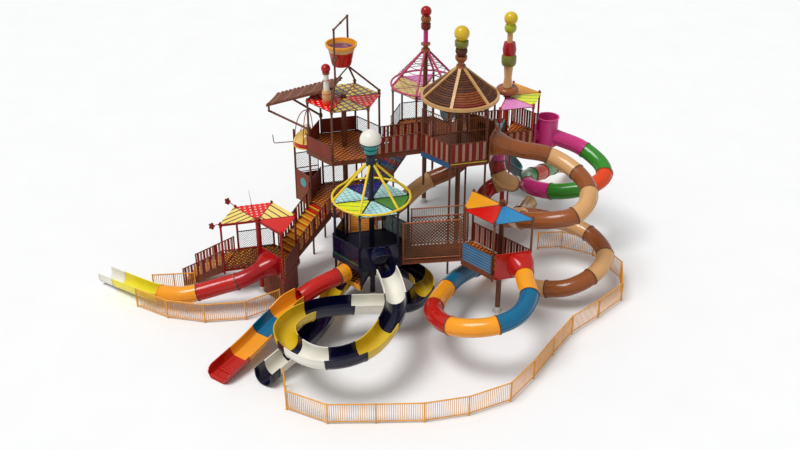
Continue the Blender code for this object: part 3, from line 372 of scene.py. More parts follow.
class Shape:
    """Collects closed pieces with materials, then becomes one object that stands for a node of the CAD."""

    def __init__(self, node, slot, name=None, body="plant"):
        self.node = node
        self.slot = slot
        self.name = name or node + "_detail"
        self.body = body
        self.points = []
        self.faces = []
        self.paint = []
        self.mats = []

    def add(self, points, faces, mat):
        base = len(self.points)
        self.points += [tuple(p) for p in points]
        if mat not in self.mats:
            self.mats.append(mat)
        self.faces += [[base + i for i in face] for face in faces]
        self.paint += [self.mats.index(mat)] * len(faces)

    def loft(self, rings, mat, closed=False):
        """Skin over rings with the same number of points; closed joins the last to the first."""
        n = len(rings[0])
        count = len(rings)
        faces = []
        for r in range(count if closed else count - 1):
            a, b = r * n, ((r + 1) % count) * n
            faces += [(a + i, a + (i + 1) % n, b + (i + 1) % n, b + i) for i in range(n)]
        if not closed:
            faces += [tuple(range(n - 1, -1, -1)), tuple(range((count - 1) * n, count * n))]
        self.add([p for ring in rings for p in ring], faces, mat)

    def prism(self, outline, z0, z1, mat):
        self.loft([[(p[0], p[1], z) for p in outline] for z in (z0, z1)], mat)

    def rod(self, a, b, r, mat, sides=10, r_end=None):
        self.pipe([a, b], r, mat, sides, r_end)

    def rail(self, a, b, z, r, mat, sides=8, z_end=None):
        """Round bar between two plan points, level or from one height to another."""
        self.rod(at_height(a, z), at_height(b, z if z_end is None else z_end), r, mat, sides)

    def upright(self, p, low, high, r, mat, sides=8):
        self.rod(at_height(p, low), at_height(p, high), r, mat, sides)

    def pipe(self, path, r, mat, sides=8, r_end=None, closed=False):
        """Round bar along points, with frames carried from one point to the next."""
        path = [Vector(p) for p in path]
        r_end = r if r_end is None else r_end
        count = len(path)
        rings = []
        across = None
        for i, p in enumerate(path):
            if closed:
                way = path[(i + 1) % count] - path[i - 1]
            else:
                way = path[min(i + 1, count - 1)] - path[max(i - 1, 0)]
            way.normalize()
            if across is None:
                across = way.cross(UP if abs(way.z) < 0.9 else Vector((1.0, 0.0, 0.0)))
            across = (across - way * across.dot(way)).normalized()
            size = r + (r_end - r) * i / max(count - 1, 1)
            rings.append(placed((p, across, across.cross(way)), round_section(size, sides, 0.5)))
        self.loft(rings, mat, closed)

    def hoop(self, middle, r, z, thick, mat, sides, count):
        """Level ring of round bar."""
        self.pipe(level_ring(middle, r, z, count), thick, mat, sides, None, True)

    def beam(self, a, b, width, height, mat, side=None):
        """Straight board: width across, height along its own up direction."""
        a, b = Vector(a), Vector(b)
        way = (b - a).normalized()
        across = side.normalized() if side else way.cross(UP)
        across = (across - way * across.dot(way)).normalized()
        section = [(width / 2 * s, height / 2 * t) for s, t in ((1, 1), (-1, 1), (-1, -1), (1, -1))]
        self.loft([placed((p, across, across.cross(way)), section) for p in (a, b)], mat)

    def slab(self, a, b, low, high, thick, mat, low_end=None, high_end=None):
        """Upright plate between two plan points; its heights may differ at the ends."""
        low_end = low if low_end is None else low_end
        high_end = high if high_end is None else high_end
        way = (b - a).normalized()
        side = Vector((-way.y, way.x)) * (thick / 2)
        ends = []
        for p, lo, hi in ((a, low, high), (b, low_end, high_end)):
            corners = ((p + side, lo), (p - side, lo), (p - side, hi), (p + side, hi))
            ends.append([at_height(q, z) for q, z in corners])
        self.loft(ends, mat)

    def turned(self, middle, profile, mat, sides=24, closed=False):
        """Shape turned about an upright axis from (radius, height) pairs; closed makes it a ring."""
        self.loft([level_ring(middle, r, z, sides) for r, z in profile], mat, closed)

    def ball(self, centre, r, mat, sides=14, rows=8):
        self.turned(centre, [(max(r * sin(pi * i / rows), 0.02 * r), centre[2] - r * cos(pi * i / rows))
                             for i in range(rows + 1)], mat, sides)

    def done(self):
        mesh = bpy.data.meshes.new(self.name)
        mesh.from_pydata(self.points, [], self.faces)
        for mat in self.mats:
            mesh.materials.append(mat)
        mesh.polygons.foreach_set("material_index", self.paint)
        mesh.polygons.foreach_set("use_smooth", [True] * len(self.faces))
        work = bmesh.new()
        work.from_mesh(mesh)
        bmesh.ops.recalc_face_normals(work, faces=work.faces)
        work.to_mesh(mesh)
        work.free()
        mesh.set_sharp_from_angle(angle=SMOOTH_ANGLE)
        thing = bpy.data.objects.new(self.name, mesh)
        bpy.context.scene.collection.objects.link(thing)
        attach(thing, self.body)
        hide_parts(self.node)


# Paths, as in the part
PATH_STEPS = 24


def fine_path(points):
    pts = [Vector(p) for p in points]
    pts = [pts[0] * 2 - pts[1]] + pts + [pts[-1] * 2 - pts[-2]]
    fine = []
    for i in range(1, len(pts) - 2):
        p0, p1, p2, p3 = pts[i - 1:i + 3]
        for j in range(PATH_STEPS):
            t = j / PATH_STEPS
            fine.append(0.5 * (p1 * 2 + (p2 - p0) * t + (p0 * 2 - p1 * 5 + p2 * 4 - p3) * t * t
                               + (p1 * 3 - p0 - p2 * 3 + p3) * t ** 3))
    fine.append(pts[-2])
    lengths = [0.0]
    for a, b in zip(fine, fine[1:]):
        lengths.append(lengths[-1] + (b - a).length)
    return fine, lengths


class Route:
    """Smooth curve through a slide's points, read by its length."""

    def __init__(self, points):
        self.points = [Vector(p) for p in points]
        self.fine, self.lengths = fine_path(points)
        self.length = self.lengths[-1]

    def place(self, s):
        s = min(max(s, 0.0), self.length)
        low, high = 0, len(self.lengths) - 1
        while high - low > 1:
            mid = (low + high) // 2
            if self.lengths[mid] <= s:
                low = mid
            else:
                high = mid
        part = (s - self.lengths[low]) / max(self.lengths[high] - self.lengths[low], 1e-9)
        return self.fine[low].lerp(self.fine[high], part)

    def frame(self, s, reach=0.22, blend=0.5):
        """Point, sideways and up directions; both ends stand upright and square."""
        way = self.place(s + reach) - self.place(s - reach)
        ease = min(s, self.length - s) / blend
        if ease < 1.0:
            a, b = self.points[:2] if s < self.length / 2 else self.points[-2:]
            end = b - a
            end.z = 0.0
            way = end.normalized().lerp(way.normalized(), max(ease, 0.0))
        way.normalize()
        across = way.cross(UP).normalized()
        return self.place(s), across, across.cross(way)


# Each length of a slide ends this far from a joint; then the flange's length and the slope beside it
JOINT_ROOM = 0.002
FLANGE_LONG = 0.05
FLANGE_SLOPE = 0.004
RING_STEP = 0.16


def stations(start, end, step=RING_STEP):
    """Lengths along a segment with its flange at both ends: (length, 1 at the flange)."""
    start, end = start + JOINT_ROOM, end - JOINT_ROOM
    room = end - start - 2 * FLANGE_LONG
    count = max(1, round(room / step))
    return ([(start, 1), (start + FLANGE_LONG, 1), (start + FLANGE_LONG + FLANGE_SLOPE, 0)]
            + [(start + FLANGE_LONG + room * i / count, 0) for i in range(1, count)]
            + [(end - FLANGE_LONG - FLANGE_SLOPE, 0), (end - FLANGE_LONG, 1), (end, 1)])


def lengths_of(route, colours):
    """Start, end, material of each coloured length, and whether it is the last one."""
    start = 0.0
    for share, mat in colours:
        end = route.length * share
        yield start, end, mat, share >= 1.0
        start = end


def tube_joint(shape, route, s, half=0.024, bolts=12):
    """Dark flange and bolts where two lengths of tube meet."""
    low, high = TUBE_R - 0.01, TUBE_R + 0.030
    shape.loft([placed(route.frame(s + d), round_section(r, 24))
                for d, r in ((-half, low), (-half, high), (half, high), (half, low))], SEAM, True)
    p, across, up = route.frame(s)
    way = up.cross(across) * 0.062
    for i in range(bolts):
        a = 2 * pi * (i + 0.5) / bolts
        spot = p + (across * cos(a) + up * sin(a)) * (TUBE_R + 0.012)
        shape.rod(spot - way, spot + way, 0.009, GALVANISED, 6)


def tube_slide(shape, points, colours):
    """Tube in coloured lengths: (share of the length where it ends, material)."""
    route = Route(points)
    for start, end, mat, last in lengths_of(route, colours):
        outer, inner, ribs = [], [], ([], [])
        for s, flange in stations(start, end):
            frame_here = route.frame(s)
            outer.append(placed(frame_here, round_section(TUBE_R + (0.016 if flange else -0.004), 24)))
            inner.append(placed(frame_here, round_section(TUBE_R - TUBE_WALL, 24)))
            for side, strip in zip((-1, 1), ribs):
                strip.append(placed(frame_here, [(side * (TUBE_R + a), b) for a, b in (
                    (-0.01, 0.012), (0.018, 0.012), (0.018, -0.012), (-0.01, -0.012))]))
        shape.loft(outer + inner[::-1], mat, True)
        for strip in ribs:
            shape.loft(strip[1:-1], mat)
        if not last:
            tube_joint(shape, route, end)
    return route


def entry_bell(shape, route, half, high, long, mat, steps=7, sides=32, wall=0.025):
    """Moulded hood that narrows from the opening in the plate to the tube."""
    shells = ([], [])
    for i in range(steps + 1):
        t = i / steps
        ease = t * t * (3 - 2 * t)
        power = 5.0 - 3.0 * ease
        for shell, thick in zip(shells, (0.0, -wall)):
            low = TUBE_R + 0.03 + thick
            wide = half + (TUBE_R + 0.03 - half) * ease + thick
            tall = high + (TUBE_R + 0.03 - high) * ease + thick
            section = []
            for c, d in round_section(1.0, sides):
                up_reach = tall if d > 0 else low
                reach = ((abs(c) / wide) ** power + (abs(d) / up_reach) ** power) ** (-1 / power)
                section.append((reach * c, reach * d))
            shell.append(placed(route.frame(0.03 + long * t), section))
    shape.loft(shells[0] + shells[1][::-1], mat, True)


def mirrored(inner, outer):
    """Closed outline from the left halves of a trough's inside and outside."""
    inner = inner + [(-a, b) for a, b in inner[::-1]]
    outer = outer + [(-a, b) for a, b in outer[::-1]]
    return inner + outer[::-1]


def flume_section(r, wall, rise, lip, steps=10):
    """Open trough with a rolled edge, as a closed outline (sideways, up)."""
    inner = [(-r, r + rise), (-r, r + rise * 0.5)]
    outer = [(-r - lip, r + rise + 0.006), (-r - lip, r + rise - 0.035), (-r - wall, r + rise - 0.05)]
    for i in range(steps + 1):
        t = pi + pi * i / steps
        inner.append((r * cos(t), r * sin(t) + r))
        outer.append(((r + wall) * cos(t), (r + wall) * sin(t) + r))
    inner += [(-a, b) for a, b in inner[1::-1]]
    outer += [(-a, b) for a, b in outer[2::-1]]
    return inner + outer[::-1]


def trough(shape, rings, mat):
    """Skin over open-trough outlines, with each end closed strip by strip."""
    n = len(rings[0])
    faces = []
    for k in range(len(rings) - 1):
        a, b = k * n, (k + 1) * n
        faces += [(a + i, a + (i + 1) % n, b + (i + 1) % n, b + i) for i in range(n)]
    last = (len(rings) - 1) * n
    for i in range(n // 2 - 1):
        faces.append((i, i + 1, n - 2 - i, n - 1 - i))
        faces.append((last + i + 1, last + i, last + n - 1 - i, last + n - 2 - i))
    shape.add([p for ring in rings for p in ring], faces, mat)


def flume_slide(shape, points, colours, r=0.46, rise=0.22):
    route = Route(points)
    sections = (flume_section(r, 0.03, rise, 0.05), flume_section(r, 0.048, rise, 0.052))
    joint = flume_section(r - 0.003, 0.054, rise + 0.003, 0.058)
    for start, end, mat, last in lengths_of(route, colours):
        trough(shape, [placed(route.frame(s), sections[flange]) for s, flange in stations(start, end)], mat)
        if not last:
            trough(shape, [placed(route.frame(end + d), joint) for d in (-0.006, 0.006)], SEAM)


# Railings
def rail_frame(shape, a, b, z, high, mat, z_end=None, r=0.028):
    """Top and bottom rails and end stiles of a guard."""
    z_end = z if z_end is None else z_end
    for lift, size in ((high - r, r), (0.07, r * 0.8)):
        shape.rail(a, b, z + lift, size, mat, 8, z_end + lift)
    inset = (b - a).normalized() * 0.03
    for p, foot in ((a + inset, z), (b - inset, z_end)):
        shape.upright(p, foot + 0.02, foot + high - r, r * 0.8, mat)


def pickets(shape, a, b, z, high, z_end=None, wide=0.140, gap=0.030):
    """Guard of upright slats in turn of two colours, inside a frame."""
    z_end = z if z_end is None else z_end
    rail_frame(shape, a, b, z, high, PICKET_BROWN, z_end)
    length = (b - a).length
    way = (b - a).normalized()
    count = max(2, int((length - 0.10) / (wide + gap)))
    pitch = (length - 0.10) / count
    for i in range(count):
        s = 0.05 + pitch * (i + 0.5)
        (p, zp), (q, zq) = [(a + way * t, z + (z_end - z) * t / length) for t in (s - wide / 2, s + wide / 2)]
        shape.slab(p, q, zp + 0.08, zp + high - 0.035, 0.018, (PICKET_RED, PICKET_TAN)[i % 2], zq + 0.08,
                   zq + high - 0.035)


def lattice(shape, a, b, z, high, mat, edge, pitch=0.13, r=0.007, z_end=None):
    """Guard of crossing slanted wires inside a frame."""
    z_end = z if z_end is None else z_end
    rail_frame(shape, a, b, z, high, edge, z_end)
    length = (b - a).length
    inner = high - 0.12

    def spot(s, t):
        return at_height(a.lerp(b, s / length), z + (z_end - z) * s / length + 0.07 + t)

    for i in range(1, int((length + inner) / pitch)):
        s = i * pitch
        x0, z0 = min(s, length), max(0.0, s - length)
        x1, z1 = max(0.0, s - inner), min(s, inner)
        shape.pipe([spot(x0, z0), spot(x1, z1)], r, mat, 4)
        shape.pipe([spot(length - x0, z0), spot(length - x1, z1)], r, mat, 4)


def sheet_guard(shape, a, b, z, high, mat, edge, lower=None):
    """Guard of one moulded panel with raised borders."""
    rail_frame(shape, a, b, z, high, edge)
    shape.slab(a, b, z + 0.06, z + high - 0.05, 0.022, mat)
    for i in (1, 2):
        shape.upright(a.lerp(b, i / 3), z + 0.06, z + high - 0.05, 0.018, edge)
    if lower:
        shape.slab(a, b, z + 0.05, z + 0.17, 0.034, lower)


# Towers
# Look of a tower's steel: material and slot
BROWN_FRAME = (BROWN_STEEL, "brown_steel")


def tower(name, middle, post_low, decks, roof_z, corners, top, long_posts=(), look=BROWN_FRAME):
    """Column, posts, beams, collars, caps and the pipes round the roof."""
    mat, slot = look
    s = Shape(name, slot)
    s.turned(middle, [(0.02, 0.0), (0.26, 0.0), (0.26, 0.03), (0.24, 0.04), (0.155, 0.045), (0.145, 0.30),
                      (0.02, 0.30)], WHITE_FOOT, 20)
    s.turned(middle, [(0.02, 0.28), (COLUMN_R, 0.28), (COLUMN_R, top), (COLUMN_R * 0.9, top), (0.02, top)],
             mat, 20)
    for bolt in circle(middle, 0.20, 6):
        s.turned(bolt, [(0.02, 0.03), (0.022, 0.065), (0.008, 0.07)], GALVANISED, 6)
    for z in decks:
        s.turned(middle, [(0.12, z - 0.20), (0.175, z - 0.20), (0.175, z - 0.02), (0.12, z - 0.02)], mat, 20)
    for k in corners:
        p = corner(middle, k)
        low, cap = 0.0 if k in long_posts else post_low, roof_z + POST_RISE
        s.turned(p, [(0.01, low), (POST_R * 0.7, low), (POST_R, low + 0.03), (POST_R, cap - 0.03),
                     (POST_R * 0.7, cap), (0.01, cap)], mat, 12)
        for z in decks + (roof_z,):
            low, high = z - 0.14, z - 0.03
            s.turned(p, [(POST_R, low), (0.075, low), (0.075, high), (POST_R, high)], mat, 12)
            line = z - 0.105 if z != roof_z else z - 0.035
            s.beam(at_height(middle, line), at_height(p, line), 0.07, 0.07, mat)
        s.turned(p, [(POST_R, roof_z + 0.05), (0.072, roof_z + 0.06), (0.072, roof_z + 0.11),
                     (POST_R, roof_z + 0.12)], mat, 12)
    order = list(corners)
    for a, b in zip(order, order[1:] + order[:1] * (len(order) == 6)):
        s.rail(corner(middle, a), corner(middle, b), roof_z - 0.03, 0.03, mat)
    return s


def deck(name, middle, z, first, count, guards, inner=None, slot="picket_red", floor=DECK_ORANGE,
         edge=PICKET_BROWN, edges=None, height=FENCE_H):
    """Deck floor, edge boards and the guards: {side or corner: function that draws it}."""
    s = Shape(name, slot)
    outline = [corner(middle, first + i, HEX_R + 0.105) for i in range(count + (count < 6))]
    if count < 6:
        outline = [Vector(middle)] + outline
    s.prism(outline, z - DECK_T, z - 0.012, edge)
    s.prism([Vector(middle).lerp(p, 0.985) for p in outline], z - 0.03, z, floor)
    rim = HEX_R + RIM_OUT
    for k in [(first + i) % 6 for i in range(count)]:
        a, b = corner(middle, k, rim), corner(middle, k + 1, rim)
        mat = (edges or {}).get(k, edge)
        s.slab(a, b, z - 0.22, z + 0.03, 0.04, mat)
        s.rail(a, b, z + 0.012, 0.024, mat)
        s.rail(a, b, z - 0.20, 0.022, mat)
        if k in guards:
            way = (b - a).normalized() * 0.05
            guards[k](s, a + way, b - way, z, height)
    for k, draw in (inner or {}).items():
        a, b = Vector(middle), corner(middle, k, rim)
        way = (b - a).normalized()
        draw(s, a + way * 0.16, b - way * 0.10, z, height)
    s.done()


def entry_plate(s, spot, way, z_deck, z_mouth, aside, mat, width=1.72, high=1.15, low=0.20,
                hole_r=TUBE_R - TUBE_WALL):
    """Moulded plate round a tube's mouth, with a rolled border; aside is the mouth's place along it."""
    along = Vector((-way.y, way.x))
    mouth = spot + along * aside
    left, right = -width / 2 - aside, width / 2 - aside
    bottom, top = z_deck - low - z_mouth, z_deck + high - z_mouth
    hole, edge = [], []
    for c, d in round_section(1.0, 32):
        hole.append((c * hole_r, d * hole_r))
        reach = min((right if c > 0 else left) / c if abs(c) > 1e-6 else 1e9,
                    (top if d > 0 else bottom) / d if abs(d) > 1e-6 else 1e9)
        edge.append((c * reach, d * reach))

    def spots(outline, out):
        return [at_height(mouth + along * x + way * out, z_mouth + y) for x, y in outline]

    s.loft([spots(hole, -0.028), spots(edge, -0.028), spots(edge, 0.028), spots(hole, 0.028)], mat, True)
    for out in (-0.012, 0.012):
        border = spots([(left, bottom), (right, bottom), (right, top), (left, top)], out)
        for p, q in zip(border, border[1:] + border[:1]):
            s.rod(p, q, 0.022, mat, 8)


def sheet(mat, edge, lower=None):
    """Function that draws a sheet guard in these materials."""
    return lambda s, a, b, z, high: sheet_guard(s, a, b, z, high, mat, edge, lower)


def wires(mat, edge, *sizes):
    """Function that draws a lattice guard in these materials."""
    return lambda s, a, b, z, high: lattice(s, a, b, z, high, mat, edge, *sizes)


navy_panel = sheet(NAVY_GLOSS, NAVY_STEEL, DARK_GREEN)
clear_panel = sheet(CLEAR_GREY, NAVY_STEEL)
dark_red_panel = sheet(WALL_RED, BROWN_STEEL)
black_lattice = wires(BLACK_STEEL, BLACK_STEEL)
red_lattice = wires(WALL_RED, RED_STEEL, 0.16, 0.020)


def mouth_panel(s, a, b, z, high):
    """Navy guard with the flume's round mouth in it."""
    rail_frame(s, a, b, z, high, NAVY_STEEL)
    entry_plate(s, (a + b) / 2, side_way(4), z, z + 0.56, 0.0, NAVY_GLOSS, (b - a).length - 0.02, high, -0.03,
                0.46)


def blue_panel(s, a, b, z, high):
    s.slab(a, b, z + 0.03, z + high - 0.05, 0.020, BLUE_HATCH)
    rail_frame(s, a, b, z, high, BROWN_STEEL)


def screened_pickets(s, a, b, z, high, screen_top=2.42, pitch=0.105):
    """Slatted guard with close thin bars above it, up to near the roof."""
    pickets(s, a, b, z, high)
    low, top = z + high - 0.02, z + screen_top
    count = int((b - a).length / pitch)
    s.rail(a, b, top, 0.026, BROWN_STEEL)
    s.rail(a, b, (low + top) / 2, 0.018, BROWN_STEEL)
    for i in range(count + 1):
        s.upright(a.lerp(b, i / count), low, top, 0.022 if i in (0, count) else 0.012, BROWN_STEEL, 6)


def yellow_foot_pickets(s, a, b, z, high):
    screened_pickets(s, a, b, z, high)
    s.rail(a, b, z - 0.02, 0.03, YELLOW_STEEL)


def roof(name, middle, z, first, panes, mat, slot="roof_pane", bar=0.055):
    """Roof panes lying between pipes, one material a sector."""
    s = Shape(name, slot)
    r = HEX_R + 0.10
    for i, pane_mat in enumerate(panes):
        k = (first + i) % 6
        c, a, b = Vector(middle), corner(middle, k, r), corner(middle, k + 1, r)
        centre = (c + a + b) / 3
        s.prism([centre.lerp(p, 0.965) for p in (c, a, b)], z + 0.004, z + 0.028, pane_mat)
        for p, q in ((c, a), (a, b), (b, c)):
            p, q = centre.lerp(p, 0.93), centre.lerp(q, 0.93)
            for spot in [p.lerp(q, t) for t in (0.12, 0.5, 0.88)]:
                s.turned(spot, [(0.014, z + 0.026), (0.014, z + 0.034), (0.004, z + 0.035)], GALVANISED, 6)
    for i in range(len(panes) + (len(panes) < 6)):
        p = corner(middle, first + i, r)
        s.beam(at_height(Vector(middle).lerp(p, 0.07), z + 0.017), at_height(p, z + 0.017), bar, 0.034, mat)
    s.turned(middle, [(0.10, z + 0.002), (0.20, z + 0.002), (0.20, z + 0.035), (0.10, z + 0.035)], mat, 20)
    s.done()


def rib_cage(s, middle, z, apex, mat, hub, ring_r=0.05, rib_r=0.045, r=1.94):
    """Ring, ribs and hub of a pointed roof."""
    s.hoop(middle, r - 0.04, z + 0.05, ring_r, mat, 10, 48)
    for k in range(6):
        a = corner(middle, k, r - 0.04)
        s.rod(at_height(a, z + 0.05), at_height(Vector(middle).lerp(a, 0.09), apex - 0.14), rib_r, mat, 10)
        s.ball(at_height(a, z + 0.055), rib_r * 1.25, mat, 10)
    s.turned(middle, [(0.08, apex - 0.28), (0.19, apex - 0.28), (0.25, apex - 0.22), (0.25, apex - 0.06),
                      (0.21, apex), (0.02, apex)], hub, 24)


def fence(name, stops):
    """Low fence: pipes, posts with feet, close thin bars."""
    s = Shape(name, "orange_steel")
    low, high = 0.12, FENCE_H - 0.045
    for a, b in zip(stops, stops[1:]):
        a, b = Vector(a), Vector(b)
        s.rail(a, b, high, 0.032, ORANGE_STEEL)
        s.rail(a, b, low, 0.028, ORANGE_STEEL)
        count = int((b - a).length / 0.095)
        for i in range(1, count):
            s.upright(a.lerp(b, i / count), low, high, 0.015, ORANGE_STEEL, 5)
    for p in stops:
        s.turned(p, [(0.01, 0.0), (0.045, 0.0), (0.045, 0.012), (0.038, 0.016), (0.038, FENCE_H - 0.03),
                     (0.030, FENCE_H - 0.006), (0.006, FENCE_H)], ORANGE_STEEL, 10)
    s.done()


def boards_between(s, edges, z0, z1, mats, count, thick=0.05, gap=0.12):
    """Walkway boards between two edges given by their plan points."""
    (a, b), (c, d) = edges
    drop = Vector((0, 0, thick))
    for i in range(count):
        rings = []
        for t in ((i + gap / 2) / count, (i + 1 - gap / 2) / count):
            z = between(z0, z1, t)
            left, right = at_height(a.lerp(b, t), z), at_height(c.lerp(d, t), z)
            rings.append([left, right, right - drop, left - drop])
        s.loft(rings, mats[i % len(mats)])


def walkway_edges(a, way_a, b, way_b, width):
    """The two long edges of a walkway that leaves square to its ends."""
    side_a = Vector((-way_a[1], way_a[0])) * (width / 2)
    side_b = Vector((way_b[1], -way_b[0])) * (width / 2)
    return (a + side_a, b + side_b), (a - side_a, b - side_b)


def walkway(s, a, way_a, b, way_b, z0, z1, width, draw, floor):
    """Boards, side beams and a railing each side."""
    lines = walkway_edges(a, way_a, b, way_b, width)
    boards_between(s, lines, z0, z1, (floor,), max(4, int((b - a).length / 0.16)))
    for p, q in lines:
        inset = (q - p).normalized() * 0.03
        p, q = p + inset, q - inset
        s.slab(p, q, z0 - 0.19, z0 - 0.02, 0.05, PICKET_BROWN, z1 - 0.19, z1 - 0.02)
        draw(s, p, q, z0, z1)


# Camera, floor and light
scene = bpy.context.scene
FLOOR = 260.0


def placed_thing(name, data):
    thing = bpy.data.objects.new(name, data)
    scene.collection.objects.link(thing)
    return thing


camera_data = bpy.data.cameras.new("photo_camera")
camera_data.lens = 50.0
camera_data.sensor_width = 36.0
camera_data.clip_end = 400.0
camera = placed_thing("photo_camera", camera_data)
camera.location = (1.39, -47.3, 31.5)
camera.rotation_euler = (radians(60.0), 0.0, 0.0)
scene.camera = camera

floor_data = bpy.data.meshes.new("studio_floor")
floor_data.from_pydata([(x * FLOOR, y * FLOOR, 0) for x, y in ((-1, -1), (1, -1), (1, 1), (-1, 1))], [],
                       [(0, 1, 2, 3)])
floor_data.materials.append(FLOOR_PAPER)
placed_thing("studio_floor", floor_data)

world = bpy.data.worlds.new("studio_world")
world.use_nodes = True
world.node_tree.nodes["Background"].inputs[0].default_value = (0.98, 0.99, 1.0, 1.0)
world.node_tree.nodes["Background"].inputs[1].default_value = 0.50
scene.world = world

sun_data = bpy.data.lights.new("soft_sun", "SUN")
sun_data.energy = 2.45
sun_data.angle = radians(28.0)
sun = placed_thing("soft_sun", sun_data)
sun.rotation_euler = Vector((14.0, 8.0, -34.0)).to_track_quat("-Z", "Y").to_euler()
scene.view_settings.view_transform = "Standard"


# Navy tower
s = tower("navy_tower_frame", NAVY, 1.55, (NAVY_LOW, NAVY_DECK), NAVY_ROOF, range(6), 7.45,
          look=(NAVY_STEEL, "navy_steel"))
inside, outside = Vector(NAVY).lerp(corner(NAVY, 4), 0.09), corner(NAVY, 4, HEX_R - 0.06)
lattice(s, inside, outside, 1.56, 1.05, NAVY_STEEL, NAVY_STEEL, 0.12, 0.010)
s.slab(inside, outside, 1.62, 2.58, 0.010, NAVY_GLOSS)
s.done()
deck("navy_lower_deck", NAVY, NAVY_LOW, 2, 2, {}, None, "deck_board", DECK_ORANGE, ORANGE_STEEL)
deck("navy_deck", NAVY, NAVY_DECK, 0, 6, {0: clear_panel, 2: navy_panel, 3: navy_panel, 4: mouth_panel}, None,
     "navy_steel", DECK_NAVY, NAVY_STEEL)
roof("navy_roof_panes", NAVY, NAVY_ROOF, 0,
     (PANE_CYAN, PANE_NIGHT, PANE_CYAN, PANE_LIME, PANE_CYAN, PANE_GREEN), BLACK_STEEL, bar=0.085)
s = Shape("navy_roof_ribs", "yellow_steel", "navy_roof_cage")
rib_cage(s, NAVY, NAVY_ROOF + POST_RISE, NAVY_APEX, YELLOW_STEEL, NAVY_STEEL, 0.058, 0.058)
s.done()

# Red tower, with two small clusters at its post tops and a whip on its roof
s = tower("red_tower_frame", RED, 1.30, (RED_DECK,), RED_ROOF, (5, 0, 1, 2, 3), 4.30, (1,),
          (RED_STEEL, "red_steel"))
for k, out, lift in ((3, 0.42, -0.12), (2, 0.36, 0.30)):
    top = at_height(corner(RED, k), RED_ROOF + 0.08)
    hub = top + Vector((-out, 0.0, lift))
    s.rod(top, hub, 0.020, RED_STEEL, 8)
    s.ball(hub, 0.085, RED_STEEL, 12)
    for i, (c, d) in enumerate(round_section(1.0, 5)):
        s.ball(hub + Vector((0.09 * c, -0.03, 0.13 * d)), 0.070, (RED_STEEL, WALL_RED)[i % 2], 10)
s.rod((-6.0, 1.3, RED_ROOF + 0.12), (-6.12, 1.3, RED_ROOF + 1.28), 0.018, RED_STEEL, 8, 0.008)
s.done()
deck("red_deck", RED, RED_DECK, 5, 4, {5: dark_red_panel, 1: black_lattice}, {3: red_lattice}, "picket_red",
     DECK_YELLOW, WALL_RED)
roof("red_roof", RED, RED_ROOF, 5, (PANE_RED, PANE_YELLOW_LINES, PANE_RED_DOTS, PANE_YELLOW_BARS), RED_STEEL,
     "red_moulding")

# Low tower
tower("low_tower_frame", LOW, 2.90, (LOW_DECK,), LOW_ROOF, (2, 3, 4, 5), 6.30).done()
deck("low_deck", LOW, LOW_DECK, 2, 3, {3: blue_panel}, {2: pickets, 5: pickets})
roof("low_roof", LOW, LOW_ROOF, 2, (PANE_ORANGE, PANE_RED, PANE_BLUE), BROWN_STEEL, "red_moulding")

# Bucket tower
tower("bucket_tower_frame", BUCKET, 2.90, (BUCKET_LOW, BUCKET_DECK), BUCKET_ROOF, range(6), 9.20,
      (2, 3, 4)).done()
deck("bucket_lower_deck", BUCKET, BUCKET_LOW, 0, 6, {1: black_lattice, 2: dark_red_panel, 5: dark_red_panel})
deck("bucket_upper_deck", BUCKET, BUCKET_DECK, 0, 6,
     {0: black_lattice, 1: dark_red_panel, 2: dark_red_panel, 3: dark_red_panel}, height=0.85)
roof("bucket_roof", BUCKET, BUCKET_ROOF, 0,
     (PANE_YELLOW_PLAID,) * 2 + (PANE_RED_DOTS,) * 2 + (PANE_YELLOW_PLAID, PANE_RED_DOTS), BROWN_STEEL)

# Cone tower, its roof of short boards in rows
tower("cone_tower_frame", CONE, 4.60, (CONE_DECK,), CONE_ROOF, range(6), 10.80, (1, 4)).done()
# Its floor is the darker deck mesh, painted shade under the cone roof
deck("cone_deck", CONE, CONE_DECK, 0, 6, {3: screened_pickets, 4: yellow_foot_pickets}, floor=DECK_SHADED,
     edges={3: BLUE_STEEL})
CONE_Z = CONE_ROOF + POST_RISE
ROWS = 17
BOARDS_ROUND = 18
s = Shape("cone_roof", "roof_board", "cone_roof_slats")
rib_cage(s, CONE, CONE_Z, CONE_APEX, TAN_STEEL, BROWN_GLOSS)
# Dark cone under the slats: painted shade that shows in the gaps between them
s.loft([level_ring(CONE, r, z, BOARDS_ROUND, HEX_TURN) for r, z in
        ((1.80, CONE_Z + 0.035), (0.16, CONE_APEX - 0.20), (0.14, CONE_APEX - 0.22), (1.76, CONE_Z + 0.020))],
       SHADE_UNDERLAY, True)
for row in range(ROWS):
    for k in range(BOARDS_ROUND):
        ring = []
        for t, lift in ((row / ROWS, 0.042), ((row + 0.90) / ROWS, 0.010)):
            z = CONE_Z + 0.06 + (CONE_APEX - 0.16 - CONE_Z - 0.06) * t + lift
            for turn in (HEX_TURN + 20.0 * k, HEX_TURN + 20.0 * (k + 1)):
                a, r = radians(turn), between(1.88, 0.17, t)
                ring.append(Vector((CONE[0] + r * cos(a), CONE[1] + r * sin(a), z)))
        ring = [ring[0], ring[1], ring[3], ring[2]]
        if k // 3 == 4 and row < 7:
            paint = WALL_BROWN if row > 1 else WALL_RED
        else:
            paint = (SLAT_DARK, SLAT_DARK, SLAT_MID)[(row * 2 + k // 3) % 3]
        s.loft([[p - Vector((0, 0, 0.026)) for p in ring], ring], paint)
s.turned(CONE, [(1.85, CONE_Z - 0.02), (1.965, CONE_Z - 0.02), (1.965, CONE_Z + 0.14), (1.85, CONE_Z + 0.14)],
         TAN_STEEL, 60, True)
for k in range(6):
    a = corner(CONE, k, 1.93)
    top = Vector(CONE).lerp(a, 0.09)
    s.beam(at_height(a, CONE_Z + 0.10), at_height(top, CONE_APEX - 0.12), 0.15, 0.07, TAN_STEEL)
s.done()

